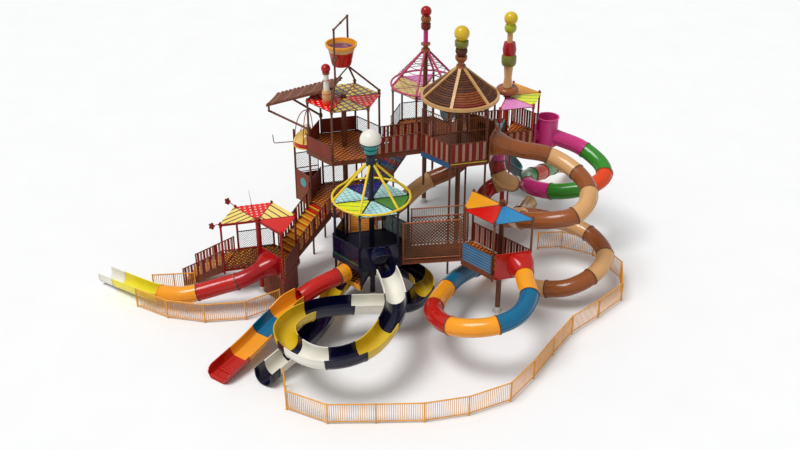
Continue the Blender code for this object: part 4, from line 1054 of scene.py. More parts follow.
# Pink tower
tower("pink_tower_frame", PINK, 4.20, (PINK_DECK,), PINK_ROOF, range(6), 9.25, (1, 3)).done()
deck("pink_deck", PINK, PINK_DECK, 0, 6, {1: black_lattice, 2: black_lattice})
roof("pink_roof_panes", PINK, PINK_ROOF, 1, (PANE_PINK, PANE_CREAM, PANE_CREAM, PANE_PINK), PINK_STEEL)
PINK_Z = PINK_ROOF + POST_RISE
s = Shape("pink_roof_ribs", "pink_steel", "pink_roof_cage")
rib_cage(s, PINK, PINK_Z, PINK_APEX, PINK_STEEL, BROWN_GLOSS, 0.055, 0.062)
for t in (0.22, 0.34, 0.46, 0.58, 0.70, 0.82):
    z = PINK_Z + 0.05 + (PINK_APEX - 0.19 - PINK_Z) * t
    s.hoop(PINK, between(1.90, 0.17, t), z, 0.018, BROWN_STEEL, 6, 36)
s.done()

# Back tower
tower("back_tower_frame", BACK, 4.80, (BACK_DECK,), BACK_ROOF, (4, 5, 0, 1), BACK_TOP, (1,),
      (RUST_STEEL, "red_steel")).done()
deck("back_deck", BACK, BACK_DECK, 4, 3, {4: pickets, 0: pickets}, edge=RUST_STEEL)
roof("back_roof", BACK, BACK_ROOF, 4, (PANE_PINK, PANE_LIME, PANE_ORANGE), RUST_STEEL)


# Slides
def painted(shares, *mats):
    """Coloured lengths: (share of the whole where each ends, material), with the materials in turn."""
    return [(share, mats[i % len(mats)]) for i, share in enumerate(shares)]


def entry_slide(name, slot, middle, k, z_deck, points, colours, plate, aside=0.0, high=1.15, bell=True):
    s = Shape(name, slot)
    route = tube_slide(s, points, colours)
    entry_plate(s, clear_of(middle, k, 0.03), side_way(k), z_deck, points[0][2], aside, plate, 1.72, high)
    if bell:
        entry_bell(s, route, 0.60, z_deck + high - points[0][2] - 0.04, 0.80, plate)
    return s


def spoke_slide(name, slot, middle, k, z_deck, later_points, colours, plate, bell_half=0.60):
    """Slide that leaves through a plate on the spoke to corner k; gives all its points."""
    line = (corner(middle, k) - Vector(middle)).normalized()
    free = Vector((line.y, -line.x))
    spot = corner(middle, k, 0.95) + free * (0.025 + GAP)
    out = at_height(free, 0.0) * 0.4
    start = at_height(spot, z_deck + 0.46) - out * 0.05
    points = [tuple(start), tuple(start + out)] + later_points
    s = Shape(name, slot)
    route = tube_slide(s, points, colours)
    entry_plate(s, spot, free, z_deck, z_deck + 0.46, 0.0, plate, 1.50, 1.10, 0.04)
    entry_bell(s, route, bell_half, 0.60, 0.75, plate)
    s.done()
    return points


def after_tube(points, ahead, drop):
    """First two points of an open lane laid against the end of a tube."""
    end = Vector(points[-1])
    way = at_height(end - Vector(points[-2]), 0.0).normalized()
    floor = at_height(end, end.z - TUBE_R + TUBE_WALL)
    return [tuple(floor + way * GAP), tuple(floor + way * ahead - Vector((0, 0, drop)))]


NAVY_FLUME = leave(NAVY, 4, 2.90) + [
    (1.0, -3.6, 2.66), (1.2, -5.3, 2.50), (0.8, -6.8, 2.38), (0.1, -8.0, 2.28), (-0.8, -8.6, 2.20),
    (-1.8, -8.7, 2.12), (-2.7, -8.3, 2.04), (-3.5, -7.4, 1.95), (-3.8, -6.3, 1.87), (-3.5, -5.3, 1.79),
    (-2.8, -4.5, 1.71), (-1.7, -3.9, 1.60), (0.0, -3.5, 1.44), (1.1, -3.3, 1.32), (2.0, -2.9, 1.20),
    (2.55, -1.7, 1.08), (2.4, -0.4, 0.98), (1.4, 0.7, 0.90), (0.0, 0.9, 0.78), (-1.2, 0.2, 0.68),
    (-1.9, -1.3, 0.60), (-2.4, -3.6, 0.45), (-3.4, -5.4, 0.28), (-4.35, -6.70, 0.13), (-4.80, -7.30, 0.055)]
s = Shape("navy_flume", "navy_moulding")
flume_slide(s, NAVY_FLUME,
            painted((0.030, 0.085, 0.145, 0.205, 0.250, 0.303, 0.318, 0.408, 0.470, 0.522, 0.595, 0.640),
                    NAVY_GLOSS, WHITE_GLOSS, NAVY_GLOSS, YELLOW_GLOSS)
            + painted((0.780, 0.835, 0.948, 0.980, 1.0), NAVY_GLOSS, YELLOW_GLOSS, NAVY_GLOSS, WHITE_GLOSS))
s.done()


def arch(wide, tall, base=0.68, steps=16):
    """Half round standing on the flume's edges."""
    return [(wide * cos(pi * j / steps), base + tall * sin(pi * j / steps)) for j in range(steps + 1)]


s = Shape("navy_entry_hood", "navy_moulding", "navy_hood_detail")
route = Route(NAVY_FLUME)
rings = []
for i in range(9):
    t = i / 8
    bulge = sin(pi * min(0.15 + t * 0.95, 1.0))
    swell = 0.29 + 0.10 * bulge
    outer, inner = [placed(route.frame(0.58 * t), arch(0.470 + 0.035 * bulge + thick, swell + thick))
                    for thick in (0.045, 0.0)]
    rings.append(outer + inner[::-1])
trough(s, rings, NAVY_GLOSS)
for t in (0.01, 0.57):
    s.pipe(placed(route.frame(t), arch(0.51, 0.34)), 0.022, NAVY_GLOSS, 8)
s.done()

ORANGE_TUBE = leave(NAVY, 3, 2.22) + [(-2.55, -2.12, 2.04), (-3.45, -2.72, 1.70)]
s = Shape("orange_lane_tube", "orange_moulding")
tube_slide(s, ORANGE_TUBE, painted((0.20, 1.0), ORANGE_GLOSS, RED_GLOSS))
s.done()
# Share of the lane's length, factor on its width, factor on its walls
LANE_SPREAD = ((0.0, 1.0, 1.75), (0.10, 1.2, 1.6), (0.24, 1.42, 1.0), (0.93, 1.48, 1.0), (0.975, 1.44, 0.86),
               (1.0, 1.24, 0.60))
ORANGE_LANE = after_tube(ORANGE_TUBE, 0.5, 0.14) + [
    (-4.6, -3.75, 0.84), (-5.6, -5.15, 0.42), (-6.95, -7.0, 0.055)]


def lane_section(wide, tall, wall, half=0.405, deep=0.42, lip=0.05, round_r=0.07):
    """Flat-bottomed trough with rounded corners and a rolled edge."""
    edge, rim = -half * wide, deep * tall
    inner = [(edge - lip + 0.01, rim + 0.012), (edge - 0.02, rim + 0.012), (edge, rim), (edge, 0.20)]
    outer = [(edge - lip, rim + 0.006), (edge - lip, rim - 0.035), (edge - wall, rim - 0.045),
             (edge - wall, 0.19)]
    for i in range(1, 6):
        t = pi / 2 * i / 6
        lean = 0.10 + 0.07 * (1 - cos(t))
        inner.append((edge + lean, round_r - round_r * sin(t)))
        outer.append((edge + lean - wall * cos(t), round_r - round_r * sin(t) - wall * sin(t)))
    inner.append((edge * 0.45, 0.0))
    outer.append((edge * 0.45, -wall))
    return mirrored(inner, outer)


def spread_at(share):
    for low, high in zip(LANE_SPREAD, LANE_SPREAD[1:]):
        if low[0] <= share <= high[0]:
            t = (share - low[0]) / (high[0] - low[0])
            return between(low[1], high[1], t), between(low[2], high[2], t)
    return LANE_SPREAD[-1][1:]


s = Shape("orange_lane", "orange_moulding")
route = Route(ORANGE_LANE)
for start, end, mat, last in lengths_of(route, painted((0.215, 0.42, 0.71, 1.0), ORANGE_GLOSS, BLUE_GLOSS,
                                                       ORANGE_GLOSS, RED_GLOSS)):
    trough(s, [placed(route.frame(at), lane_section(*spread_at(at / route.length), 0.045 if flange else 0.03))
               for at, flange in stations(start, end, 0.12)], mat)
# Raised cross bump and a rounded lip at the lane's end
for before_end, r, lift in ((0.13, 0.100, 0.030), (0.66, 0.085, 0.005)):
    p, across, up = route.frame(route.length - before_end)
    s.rod(p - across * 0.46 + up * lift, p + across * 0.46 + up * lift, r, RED_GLOSS, 14)
s.done()

LOW_TUBE = leave(LOW, 4, 3.76, 0.0, 0.55, 0.35) + [
    (7.20, -4.25, 3.58), (7.28, -5.1, 3.40), (6.75, -6.2, 3.18), (5.8, -6.8, 3.02), (4.75, -6.85, 2.86),
    (3.85, -6.5, 2.68), (3.25, -5.8, 2.50), (2.95, -4.8, 2.32), (3.10, -3.7, 2.14), (3.55, -2.5, 2.00),
    (4.10, -1.3, 1.86), (4.85, -0.1, 1.60), (5.5, 0.9, 1.20), (6.1, 1.6, 0.85), (6.8, 2.2, 0.60)]
entry_slide("low_tube_slide", "orange_moulding", LOW, 4, LOW_DECK, LOW_TUBE,
            painted((0.125, 0.275, 0.405, 0.545, 0.665, 0.85, 1.0), ORANGE_GLOSS, BLUE_GLOSS, ORANGE_GLOSS,
                    RED_GLOSS), RED_GLOSS, 0.35).done()

CONE_TUBE = leave(CONE, 5, 6.96) + [
    (7.6, 3.2, 6.72), (8.9, 3.3, 6.40), (10.1, 2.5, 5.98), (10.7, 1.3, 5.60), (10.5, 0.2, 5.25),
    (9.8, -0.45, 4.95), (8.8, -0.45, 4.72), (7.8, 0.1, 4.38), (7.2, 1.2, 3.85), (7.4, 2.4, 3.35),
    (8.3, 3.1, 2.92), (9.4, 3.2, 2.65), (10.5, 2.9, 2.45), (11.4, 2.1, 2.24), (11.8, 0.8, 1.95),
    (11.1, -0.4, 1.60), (9.8, -1.0, 1.20), (8.5, -0.6, 0.85), (7.7, 0.1, 0.62)]
entry_slide("cone_tube_slide", "brown_moulding", CONE, 5, CONE_DECK, CONE_TUBE,
            painted((0.12, 0.190, 0.250, 0.325, 0.44, 0.55, 0.63, 0.705, 0.775, 0.848, 0.945, 1.0),
                    BROWN_GLOSS, TAN_GLOSS), BROWN_GLOSS).done()

PINK_TUBE = leave(BACK, 5, 5.68) + [
    (9.9, 7.2, 5.50), (11.2, 6.9, 5.05), (12.1, 5.9, 4.62), (12.2, 5.0, 4.30), (11.5, 4.5, 4.00),
    (10.4, 4.5, 3.70), (9.3, 5.0, 3.40), (8.45, 6.1, 3.12), (8.4, 7.7, 2.78), (9.4, 9.2, 2.35),
    (10.4, 11.0, 1.80), (11.1, 12.3, 1.20), (11.6, 13.1, 0.75)]
s = entry_slide("pink_tube_slide", "pink_moulding", BACK, 5, BACK_DECK, PINK_TUBE,
                painted((0.155, 0.265, 0.34, 0.45, 0.56, 0.68, 0.75, 0.84), PINK_GLOSS, GREEN_GLOSS,
                        CORAL_GLOSS, GREEN_GLOSS) + [(1.0, TAN_GLOSS)], PINK_GLOSS, 0.0, 1.30, False)
drum = clear_of(BACK, 5, 0.56)
low, high = BACK_DECK - 0.12, BACK_DECK + 1.50
s.turned(drum, [(0.52, low), (0.56, low), (0.56, high - 0.05), (0.60, high - 0.03), (0.60, high),
                (0.52, high)], PINK_GLOSS, 32, True)
s.turned(drum, [(0.02, low), (0.54, low), (0.54, low + 0.03), (0.02, low + 0.03)], PINK_GLOSS, 32)
s.done()

SPIRAL_TUBE = leave(CONE, 0, 6.96, 0.03, 0.35) + [
    (6.30, 5.52, 6.45), (6.52, 5.44, 5.70), (6.52, 5.22, 4.85), (6.75, 4.95, 4.25), (7.25, 5.0, 3.90),
    (7.5, 5.6, 3.55), (7.1, 6.3, 3.20), (6.35, 6.4, 2.86), (5.85, 5.8, 2.50), (6.05, 5.1, 2.15),
    (6.8, 4.8, 1.82), (7.6, 5.3, 1.50), (8.0, 6.5, 1.15), (8.4, 7.8, 0.78), (8.85, 8.75, 0.62)]
entry_slide("spiral_tube_slide", "tan_moulding", CONE, 0, CONE_DECK, SPIRAL_TUBE,
            painted((0.13, 0.175, 0.22, 0.30), BROWN_GLOSS, PINK_GLOSS, CRIMSON_GLOSS, TAN_GLOSS)
            + painted((0.38, 0.45, 0.53, 0.66, 0.82, 1.0), BROWN_GLOSS, TAN_GLOSS, RED_GLOSS, TAN_GLOSS),
            BROWN_GLOSS).done()

spoke_slide("middle_tube_slide", "tan_moulding", BACK, 4, BACK_DECK, [
    (5.75, 7.20, 5.28), (5.15, 6.85, 4.72), (4.55, 6.52, 4.22), (3.9, 6.32, 3.82), (3.0, 6.15, 3.47),
    (2.2, 5.6, 3.15), (1.4, 4.8, 2.75), (0.6, 4.6, 2.35), (-0.2, 5.2, 1.95), (-0.5, 6.4, 1.50),
    (-0.6, 7.8, 1.00), (-0.7, 9.0, 0.66)],
    [(0.14, TEAL_GLOSS)] + painted((0.36, 0.52, 0.68, 0.84, 1.0), BROWN_GLOSS, TAN_GLOSS), TEAL_GLOSS)

GREY_LANE = leave(PINK, 0, 4.65) + [
    (5.4, 11.75, 3.85), (6.6, 11.4, 2.75), (7.8, 10.95, 1.60), (8.6, 11.1, 0.85), (9.2, 11.9, 0.055)]
s = Shape("grey_lane", "grey_moulding")
flume_slide(s, GREY_LANE, painted((0.25, 0.5, 0.75, 1.0), GREY_GLOSS, TEAL_GLOSS))
s.done()

# Red slide with its run-out
red_slide = spoke_slide("red_slide", "red_moulding", RED, 5, RED_DECK, [
    (-6.3, -1.10, 1.76), (-7.5, -1.20, 1.40), (-8.6, -1.30, 1.10), (-9.5, -1.28, 0.92), (-10.6, -0.86, 0.76)],
    painted((0.33, 0.66, 1.0), CRIMSON_GLOSS, RED_GLOSS, ORANGE_GLOSS), CRIMSON_GLOSS, 0.62)
s = Shape("red_slide_runout", "red_moulding")
flume_slide(s, after_tube(red_slide, 0.55, 0.02) + [(-12.2, 0.10, 0.24), (-13.9, 1.40, 0.055)],
            painted((0.72, 1.0), LEMON_GLOSS, WHITE_GLOSS), TUBE_R - TUBE_WALL)
s.done()


# Stairs
def flight(name, a, b, z_low, z_high, steps, landing=STEP_ORANGE, width=1.5, wall=0.95):
    """Steps between two picket walls; landing paints the last two steps."""
    s = Shape(name, "walk_board")
    way = (b - a).normalized()
    side = Vector((-way.y, way.x))
    run = (b - a).length / steps
    rise = (z_high - z_low) / steps
    for i in range(steps):
        z = z_low + (i + 1) * rise - 0.02
        p, q = a + way * (i * run), a + way * ((i + 1) * run + 0.02)
        s.slab(p, q, z - 0.05, z, width - 0.06, landing if i >= steps - 2 else STEP_ORANGE)
        s.slab(p, p + way * 0.03, z - rise, z - 0.05, width - 0.06, STEP_DARK)
        s.slab(p - way * 0.01, p + way * 0.02, z - 0.05, z + 0.004, width - 0.06, YELLOW_STEEL)
    foot = max(z_low - 0.10, 0.02)
    for t in (-1, 1):
        p = a + side * (t * (width / 2)) + way * 0.01
        q = b + side * (t * (width / 2)) - way * 0.01
        s.slab(p, q, foot, z_low + 0.10, 0.05, PICKET_BROWN, z_high - 0.32, z_high + 0.06)
        pickets(s, p, q, z_low + 0.04, wall - 0.04, z_high + 0.04, 0.13, 0.05)
        for k in (0.0, 0.5, 1.0):
            top = between(z_low, z_high, k) + wall + 0.01
            s.upright(p.lerp(q, k), between(foot, z_high - 0.32, k), top, 0.03, PICKET_BROWN)
    s.done()


entry_top = clear_of(RED, 2)
flight("entry_stair", entry_top + side_way(2) * 2.3, entry_top, 0.15, RED_DECK, 7)
stair_low, way = clear_of(RED, 0), side_way(0)
stair_high = stair_low + way * (clear_of(BUCKET, 3) - stair_low).dot(way)
flight("long_stair", stair_low, stair_high, RED_DECK, BUCKET_LOW, 9, RED_GLOSS)


# Bridges
def picket_side(s, p, q, z0, z1):
    pickets(s, p, q, z0, 1.0, z1)


def link(name, tower_a, k, tower_b, k_b, z0, z1, slot="walk_board", draw=picket_side, floor=PICKET_BROWN,
         width=1.5):
    s = Shape(name, slot)
    walkway(s, clear_of(tower_a, k), side_way(k), clear_of(tower_b, k_b), side_way(k_b), z0, z1, width, draw,
            floor)
    s.done()


def net_side(s, p, q, z0, z1, high=2.13):
    """Rope net between pipes on the near side, close upright bars over a lower net on the far side."""
    for lift, r in ((high - 0.03, 0.032), (0.10, 0.03), (-0.16, 0.03)):
        s.rail(p, q, z0 + lift, r, NET_FRAME, 8, z1 + lift)
    net_high = high - 0.02
    if (p.y + q.y) / 2 >= -0.7:
        net_high = high - 0.54
        s.rail(p, q, z0 + high - 0.50, 0.026, NET_FRAME, 8, z1 + high - 0.50)
        count = int((q - p).length / 0.085)
        for t in [i / count for i in range(1, count)]:
            z = between(z0, z1, t)
            s.upright(p.lerp(q, t), z + high - 0.50, z + high - 0.04, 0.012, GREEN_MESH, 5)
    lattice(s, p, q, z0 + 0.04, net_high, NET_ROPE, NET_FRAME, 0.17, 0.020, z1 + 0.04)
    for t in (0.02, 0.98):
        z = between(z0, z1, t)
        s.upright(p.lerp(q, t), z - 0.19, z + high, 0.034, NET_FRAME)


link("bucket_cone_bridge", BUCKET, 5, CONE, 2, BUCKET_DECK, CONE_DECK, "picket_red")
link("net_bridge", NAVY, 5, LOW, 2, NAVY_DECK, LOW_DECK, "brown_steel", net_side)
link("cone_pink_bridge", CONE, 1, PINK, 4, CONE_DECK - 0.02, PINK_DECK)
link("bucket_navy_bridge", BUCKET, 4, NAVY, 1, BUCKET_LOW, NAVY_DECK, floor=STEP_ORANGE, width=1.4)
s = Shape("plank_bridge", "walk_board")
lines = walkway_edges(clear_of(BUCKET, 0), side_way(0), clear_of(PINK, 3), side_way(3), 1.5)
boards_between(s, lines, BUCKET_LOW, PINK_DECK, PLANKS, 17, 0.06, 0.16)
HANGERS = 28
SAGS = 6
for p, q in lines:
    s.slab(p, q, BUCKET_LOW - 0.18, BUCKET_LOW - 0.05, 0.04, PICKET_BROWN, PINK_DECK - 0.18, PINK_DECK - 0.05)
    posts = [(p.lerp(q, t), between(BUCKET_LOW, PINK_DECK, t)) for t in (0.03, 0.5, 0.97)]
    for spot, z in posts:
        s.upright(spot, z - 0.18, z + 1.02, 0.030, BROWN_STEEL, 10)
    for lift in (0.98, 0.55):
        for (a, za), (b, zb) in zip(posts, posts[1:]):
            line = []
            for i in range(SAGS + 1):
                z = za + (zb - za) * i / SAGS + lift - 0.05 * sin(pi * i / SAGS)
                line.append(at_height(a.lerp(b, i / SAGS), z))
            s.pipe(line, 0.018, ROPE, 8)
    for t in [i / HANGERS for i in range(1, HANGERS)]:
        z = between(BUCKET_LOW, PINK_DECK, t)
        s.upright(p.lerp(q, t), z - 0.05, z + 0.94, 0.007, ROPE, 5)
s.done()
s = Shape("pink_back_bridge", "walk_board")
west = side_way(2)
# It ends this far beside the middle of the spoke to corner 1
SPOKE_CLEAR = 0.0429
half = corner(BACK, 1, HEX_R / 2) + west * SPOKE_CLEAR
walkway(s, clear_of(PINK, 5), side_way(5), half, west, PINK_DECK, BACK_DECK, 1.3, picket_side, PICKET_BROWN)
s.done()

# Store walls under the red deck
s = Shape("red_store_walls", "red_steel", "red_store_detail")
store = (corner(RED, 5, 0.16), corner(RED, 5, HEX_R - 0.06), corner(RED, 0, HEX_R - 0.01))
for a, b, top, mat in ((store[0], store[1], RED_DECK - 0.15, WALL_BROWN),
                       (store[1], store[2], RED_DECK - 0.221, WALL_RED)):
    count = int((b - a).length / 0.14)
    for i in range(count):
        p, q = a.lerp(b, (i + 0.03) / count), a.lerp(b, (i + 0.97) / count)
        s.slab(p, q, 0.045, top, 0.036 if i % 2 else 0.030, mat)
    s.slab(a, b, 0.041, 0.14, 0.048, PICKET_BROWN)
    s.slab(a, b, top - 0.09, top, 0.048, PICKET_BROWN)
s.done()

# Fences
fence("front_fence", [(-3.85, -7.4), (-3.6, -9.0), (-1.75, -9.95), (0.35, -9.92), (2.45, -9.85), (4.4, -9.4),
                      (6.3, -8.45), (7.5, -6.8), (8.6, -5.0), (9.7, -3.3), (11.2, -1.9), (12.6, -0.4),
                      (12.9, 1.6), (11.8, 3.9), (10.2, 4.7), (8.9, 4.6)])
fence("left_fence", [(-11.8, -0.95), (-10.1, -1.95), (-8.2, -2.35), (-6.2, -2.1), (-4.62, -1.0)])
fence("back_left_fence", [(-11.2, 0.35), (-10.15, 0.45), (-9.1, 0.55)])

# Bay beside the bucket tower
BAY_POST = Vector((-4.15, 5.30))
BAY_LOW, BAY_WALL, BAY_BEAM, BAY_TOP = 2.80, 4.60, 6.10, 6.90
board_way = side_way(2)
board_at = clear_of(BUCKET, 2)


def bay_end(k, inset=0.10):
    """Where the line from the bay's post to corner k meets the edge board."""
    way = corner(BUCKET, k, HEX_R - inset) - BAY_POST
    return BAY_POST + way * ((board_at - BAY_POST).dot(board_way) / way.dot(board_way))


bay_near, bay_far = bay_end(3), bay_end(2)
s = Shape("bucket_side_bay", "brown_steel")
s.turned(BAY_POST, [(0.01, BAY_LOW), (POST_R, BAY_LOW), (POST_R, BAY_TOP - 0.02), (0.03, BAY_TOP),
                    (0.01, BAY_TOP)], BROWN_STEEL, 12)
s.prism([BAY_POST + board_way * 0.02, bay_far, bay_near], BUCKET_LOW - DECK_T, BUCKET_LOW, DECK_ORANGE)
s.slab(BAY_POST, bay_near, BAY_LOW + 0.02, BAY_LOW + 0.85, 0.044, WALL_BROWN)
s.slab(BAY_POST, bay_near, BAY_LOW + 0.85, BAY_WALL, 0.044, WALL_RED)
disc = at_height(BAY_POST.lerp(bay_near, 0.55), BAY_WALL - 0.55)
near_way = (bay_near - BAY_POST).normalized()
face_way = Vector((near_way.y, -near_way.x, 0.0))
if face_way.y > 0:
    face_way = -face_way
s.rod(disc, disc + face_way * 0.028, 0.26, TEAL_GLOSS, 24)
s.slab(BAY_POST, bay_far, BUCKET_LOW - 0.12, BUCKET_LOW + 1.0, 0.044, WALL_RED)
lattice(s, BAY_POST, bay_far, BUCKET_LOW + 1.0, 1.22, BLACK_STEEL, BLACK_STEEL)
for p in (bay_near, bay_far):
    s.rail(BAY_POST, p, BAY_BEAM + 0.035, 0.035, BROWN_STEEL)
    s.rail(BAY_POST, p, BAY_WALL, 0.03, BROWN_STEEL)
DOME = (BAY_POST + corner(BUCKET, 2) + corner(BUCKET, 3)) / 3
DOME_R, DOME_Z, HOOP_RISE = 0.78, BAY_BEAM + 0.10, 1.85
DOME_SIDES = 32
DOME_TURN = 3.0
# The red part of the dome's band lies between these two of its sides
RED_FROM, RED_TO = 18, 27


def off_board(x, y, clear):
    """The point itself, or its foot just outside the tower's edge board."""
    short = clear - (Vector((x, y)) - board_at).dot(board_way)
    if short > 0.0:
        x, y = x + board_way.x * short, y + board_way.y * short
    return x, y


def dome_row(share, lift, sides=DOME_SIDES, clear=0.0008):
    outline = circle(DOME, DOME_R * share, sides, DOME_TURN)
    return [off_board(x, y, clear) + (DOME_Z + lift,) for x, y in outline]


rows = [dome_row(share, lift) for share, lift in (
    (0.10, -0.24), (0.55, -0.22), (0.96, -0.05), (0.995, 0.10), (0.96, 0.24), (0.88, 0.38), (0.74, 0.53),
    (0.54, 0.66), (0.30, 0.75), (0.08, 0.775))]
for i, (a, b) in enumerate(zip(rows, rows[1:])):
    for j in range(DOME_SIDES):
        k = (j + 1) % DOME_SIDES
        paint = DOME_YELLOW
        if i < 2:
            paint = CORAL_GLOSS
        elif i < 4 and RED_FROM <= j < RED_TO:
            paint = RED_GLOSS
        s.add([a[j], a[k], b[k], b[j]], [(0, 1, 2, 3)], paint)
s.pipe(dome_row(1.0, 0.0, 40, 0.03), 0.034, ORANGE_GLOSS, 8, None, True)
for j in (RED_FROM, RED_TO):
    s.pipe([row[j] for row in rows[2:7]], 0.018, ORANGE_GLOSS, 6)
HOOP_STEPS = 18
for way, turn_end in ((Vector((-board_way.y, board_way.x)), pi), (board_way, pi / 2)):
    for inset, rise, r, mat in ((0.95, 0.55 + 0.45, 0.024, RUST_STEEL), (0.70, 0.55, 0.020, ORANGE_STEEL)):
        turns = [turn_end * i / HOOP_STEPS for i in range(HOOP_STEPS + 1)]
        s.pipe([(DOME.x + way.x * DOME_R * inset * cos(t), DOME.y + way.y * DOME_R * inset * cos(t),
                 DOME_Z + 0.02 + HOOP_RISE * rise * sin(t)) for t in turns], r, mat, 8)
ARM_Z = 6.14
s.pipe([at_height(BAY_POST, ARM_Z + 0.05), (-5.17, 5.30, ARM_Z - 0.045), (-5.22, 5.30, ARM_Z - 0.01),
        (-5.26, 5.30, ARM_Z + 0.43)], 0.024, BROWN_STEEL, 8)
s.done()

# Awning of curled boards
AWNING_HIGH = Vector((-1.75, 4.60, 9.75))
AWNING_LOW = Vector((-5.24, 5.60, 8.40))
AWNING_W = 1.55
BOARDS = 16
BOARD_SECTION = ((-0.40, 0.0), (0.40, 0.0), (0.40, 0.020), (0.28, 0.050), (0.0, 0.060), (-0.28, 0.050),
                 (-0.40, 0.020))
s = Shape("awning", "roof_board")
way = AWNING_LOW - AWNING_HIGH
along = way.normalized()
pitch = way.length / BOARDS
level = Vector((-way.y, way.x, 0)).normalized()
normal = level.cross(along)
if normal.z < 0:
    normal = -normal
# Dark board under the awning's boards: painted shade that shows in the gaps between them
s.beam(AWNING_HIGH + normal * 0.008, AWNING_LOW + normal * 0.008, AWNING_W - 0.16, 0.010, SHADE_UNDERLAY, level)
for i in range(BOARDS):
    centre = AWNING_HIGH + way * ((i + 0.5) / BOARDS)
    rings = []
    for step in range(9):
        across = -0.5 + step / 8
        curl = 0.030 * (2 * across) ** 4
        jag = 0.035 * sin(i * 2.4) if step in (0, 8) else 0.0
        spot = centre + level * (across * (AWNING_W - 0.03 + jag)) + normal * (0.020 + curl)
        rings.append(placed((spot, along, normal), [(pitch * a, b) for a, b in BOARD_SECTION]))
    s.loft(rings, (SLAT_GREY, SLAT_GREY, SLAT_LIGHT)[i % 3])
for t in (-0.55, 0.55):
    s.rod(AWNING_HIGH + level * t - UP * 0.03, AWNING_LOW + level * t - UP * 0.03, 0.044, BROWN_STEEL, 10)
for t in (-0.76, 0.76):
    s.beam(AWNING_HIGH + level * t, AWNING_LOW + level * t, 0.03, 0.09, PICKET_BROWN, level)
near = 1 if level.y < 0 else -1
for k, side, reach, hang, drop in ((3, 1, 0.985, 0.34, 7.45), (2, -1, 0.86, 0.0, 7.42)):
    post = corner(BUCKET, k)
    far = AWNING_HIGH.lerp(AWNING_LOW, reach) + level * (near * side * 0.55) - UP * 0.03
    low = far - UP * hang
    if hang:
        s.rod(far, low - UP * 0.05, 0.052, BROWN_STEEL, 12)
        s.ball(low, 0.072, BROWN_STEEL, 12)
    s.rod(low, at_height(post, drop), 0.058, BROWN_STEEL, 12)
    s.turned(post, [(POST_R, drop - 0.10), (POST_R + 0.042, drop - 0.10), (POST_R + 0.042, drop + 0.10),
                    (POST_R, drop + 0.10)], BROWN_STEEL, 12)
s.done()

# Gantry
PIVOT = Vector((-1.47, 3.755, 11.75))
GANTRY_TOP, GANTRY_KNEE = 13.24, 10.62
PIN_R = 0.0479
BEARING_R = 0.0500
AXIS = at_height(corner((0.0, 0.0), 1, 1.0), 0.0)
ends = (PIVOT - AXIS * 1.02, PIVOT + AXIS * 1.02)
POST_TOP = BUCKET_ROOF + POST_RISE
bases = [at_height(corner(BUCKET, k), POST_TOP + 0.07) for k in (4, 1, 0)]
tops = [at_height(p, GANTRY_TOP) for p in ends]
lows = [at_height(p, GANTRY_KNEE) for p in ends]
s = Shape("bucket_gantry", "brown_steel")
for p in bases:
    s.turned(p, [(0.02, POST_TOP + 0.001), (0.09, POST_TOP + 0.001), (0.09, POST_TOP + 0.05),
                 (0.06, POST_TOP + 0.11), (0.02, POST_TOP + 0.11)], BROWN_STEEL, 14)
s.pipe([bases[0], lows[0], tops[0]], 0.052, BROWN_STEEL, 12)
s.pipe([bases[1], lows[1], tops[1]], 0.052, BROWN_STEEL, 12)
s.rod(bases[2], lows[1], 0.048, BROWN_STEEL, 12)
s.rod(tops[0], tops[1], 0.045, BROWN_STEEL, 12)
s.rod(lows[0], lows[1], 0.036, BROWN_STEEL, 10)
for p in tops + lows:
    s.ball(p, 0.07, BROWN_STEEL, 14)
middle_top = (tops[0] + tops[1]) / 2
s.rod(middle_top - AXIS * 0.04, middle_top + AXIS * 0.04, 0.062, BROWN_STEEL, 12)
for end, sign in zip(ends, (-1, 1)):
    side = Vector((-AXIS.y, AXIS.x, 0))
    s.loft([placed((end + AXIS * (at * sign), side, UP), round_section(r, 24)) for at, r in (
        (-0.05, BEARING_R), (-0.05, 0.11), (0.10, 0.11), (0.10, BEARING_R))], BROWN_STEEL, True)
s.done()

# Bucket with still water in it; heights count from the pivot
RIM_R, BASE_R = 0.78, 0.48
BUCKET_BASE, BUCKET_RIM = -0.65, 0.48
RIVETS = 16


def lifted(z, profile):
    """Profile with its heights counted from z."""
    return [(r, z + lift) for r, lift in profile]


s = Shape("bucket", "red_moulding", body="bucket")
for closed, mat, profile in (
        (False, RED_GLOSS, ((0.02, BUCKET_BASE), (BASE_R - 0.03, BUCKET_BASE), (BASE_R, BUCKET_BASE + 0.03),
                            (RIM_R - 0.15, 0.10), (RIM_R - 0.19, 0.10), (BASE_R - 0.05, BUCKET_BASE + 0.06),
                            (0.02, BUCKET_BASE + 0.05))),
        (True, TAN_GLOSS, ((RIM_R - 0.19, 0.09), (RIM_R - 0.145, 0.09), (RIM_R - 0.08, 0.30),
                           (RIM_R - 0.13, 0.30))),
        (True, ORANGE_GLOSS, ((RIM_R - 0.14, 0.29), (RIM_R - 0.07, 0.285), (RIM_R - 0.01, 0.33),
                              (RIM_R, 0.40), (RIM_R, BUCKET_RIM - 0.02), (RIM_R - 0.03, BUCKET_RIM),
                              (RIM_R - 0.08, BUCKET_RIM - 0.02), (RIM_R - 0.10, 0.36))),
        (False, BUCKET_WATER, ((0.02, 0.20), (RIM_R - 0.155, 0.20), (RIM_R - 0.155, 0.215), (0.02, 0.215)))):
    s.turned(PIVOT, lifted(PIVOT.z, profile), mat, 48, closed)
for sign in (-1, 1):
    s.rod(PIVOT + AXIS * (sign * 0.60), PIVOT + AXIS * (sign * 1.08), PIN_R - 0.001, GALVANISED, 24)
    s.rod(PIVOT + AXIS * (sign * 0.58), PIVOT + AXIS * (sign * 0.72), 0.085, RED_GLOSS, 20)
for x, y in circle(PIVOT, 0.515, RIVETS):
    s.ball((x, y, PIVOT.z + BUCKET_BASE + 0.16), 0.016, RED_GLOSS, 8)
s.done()


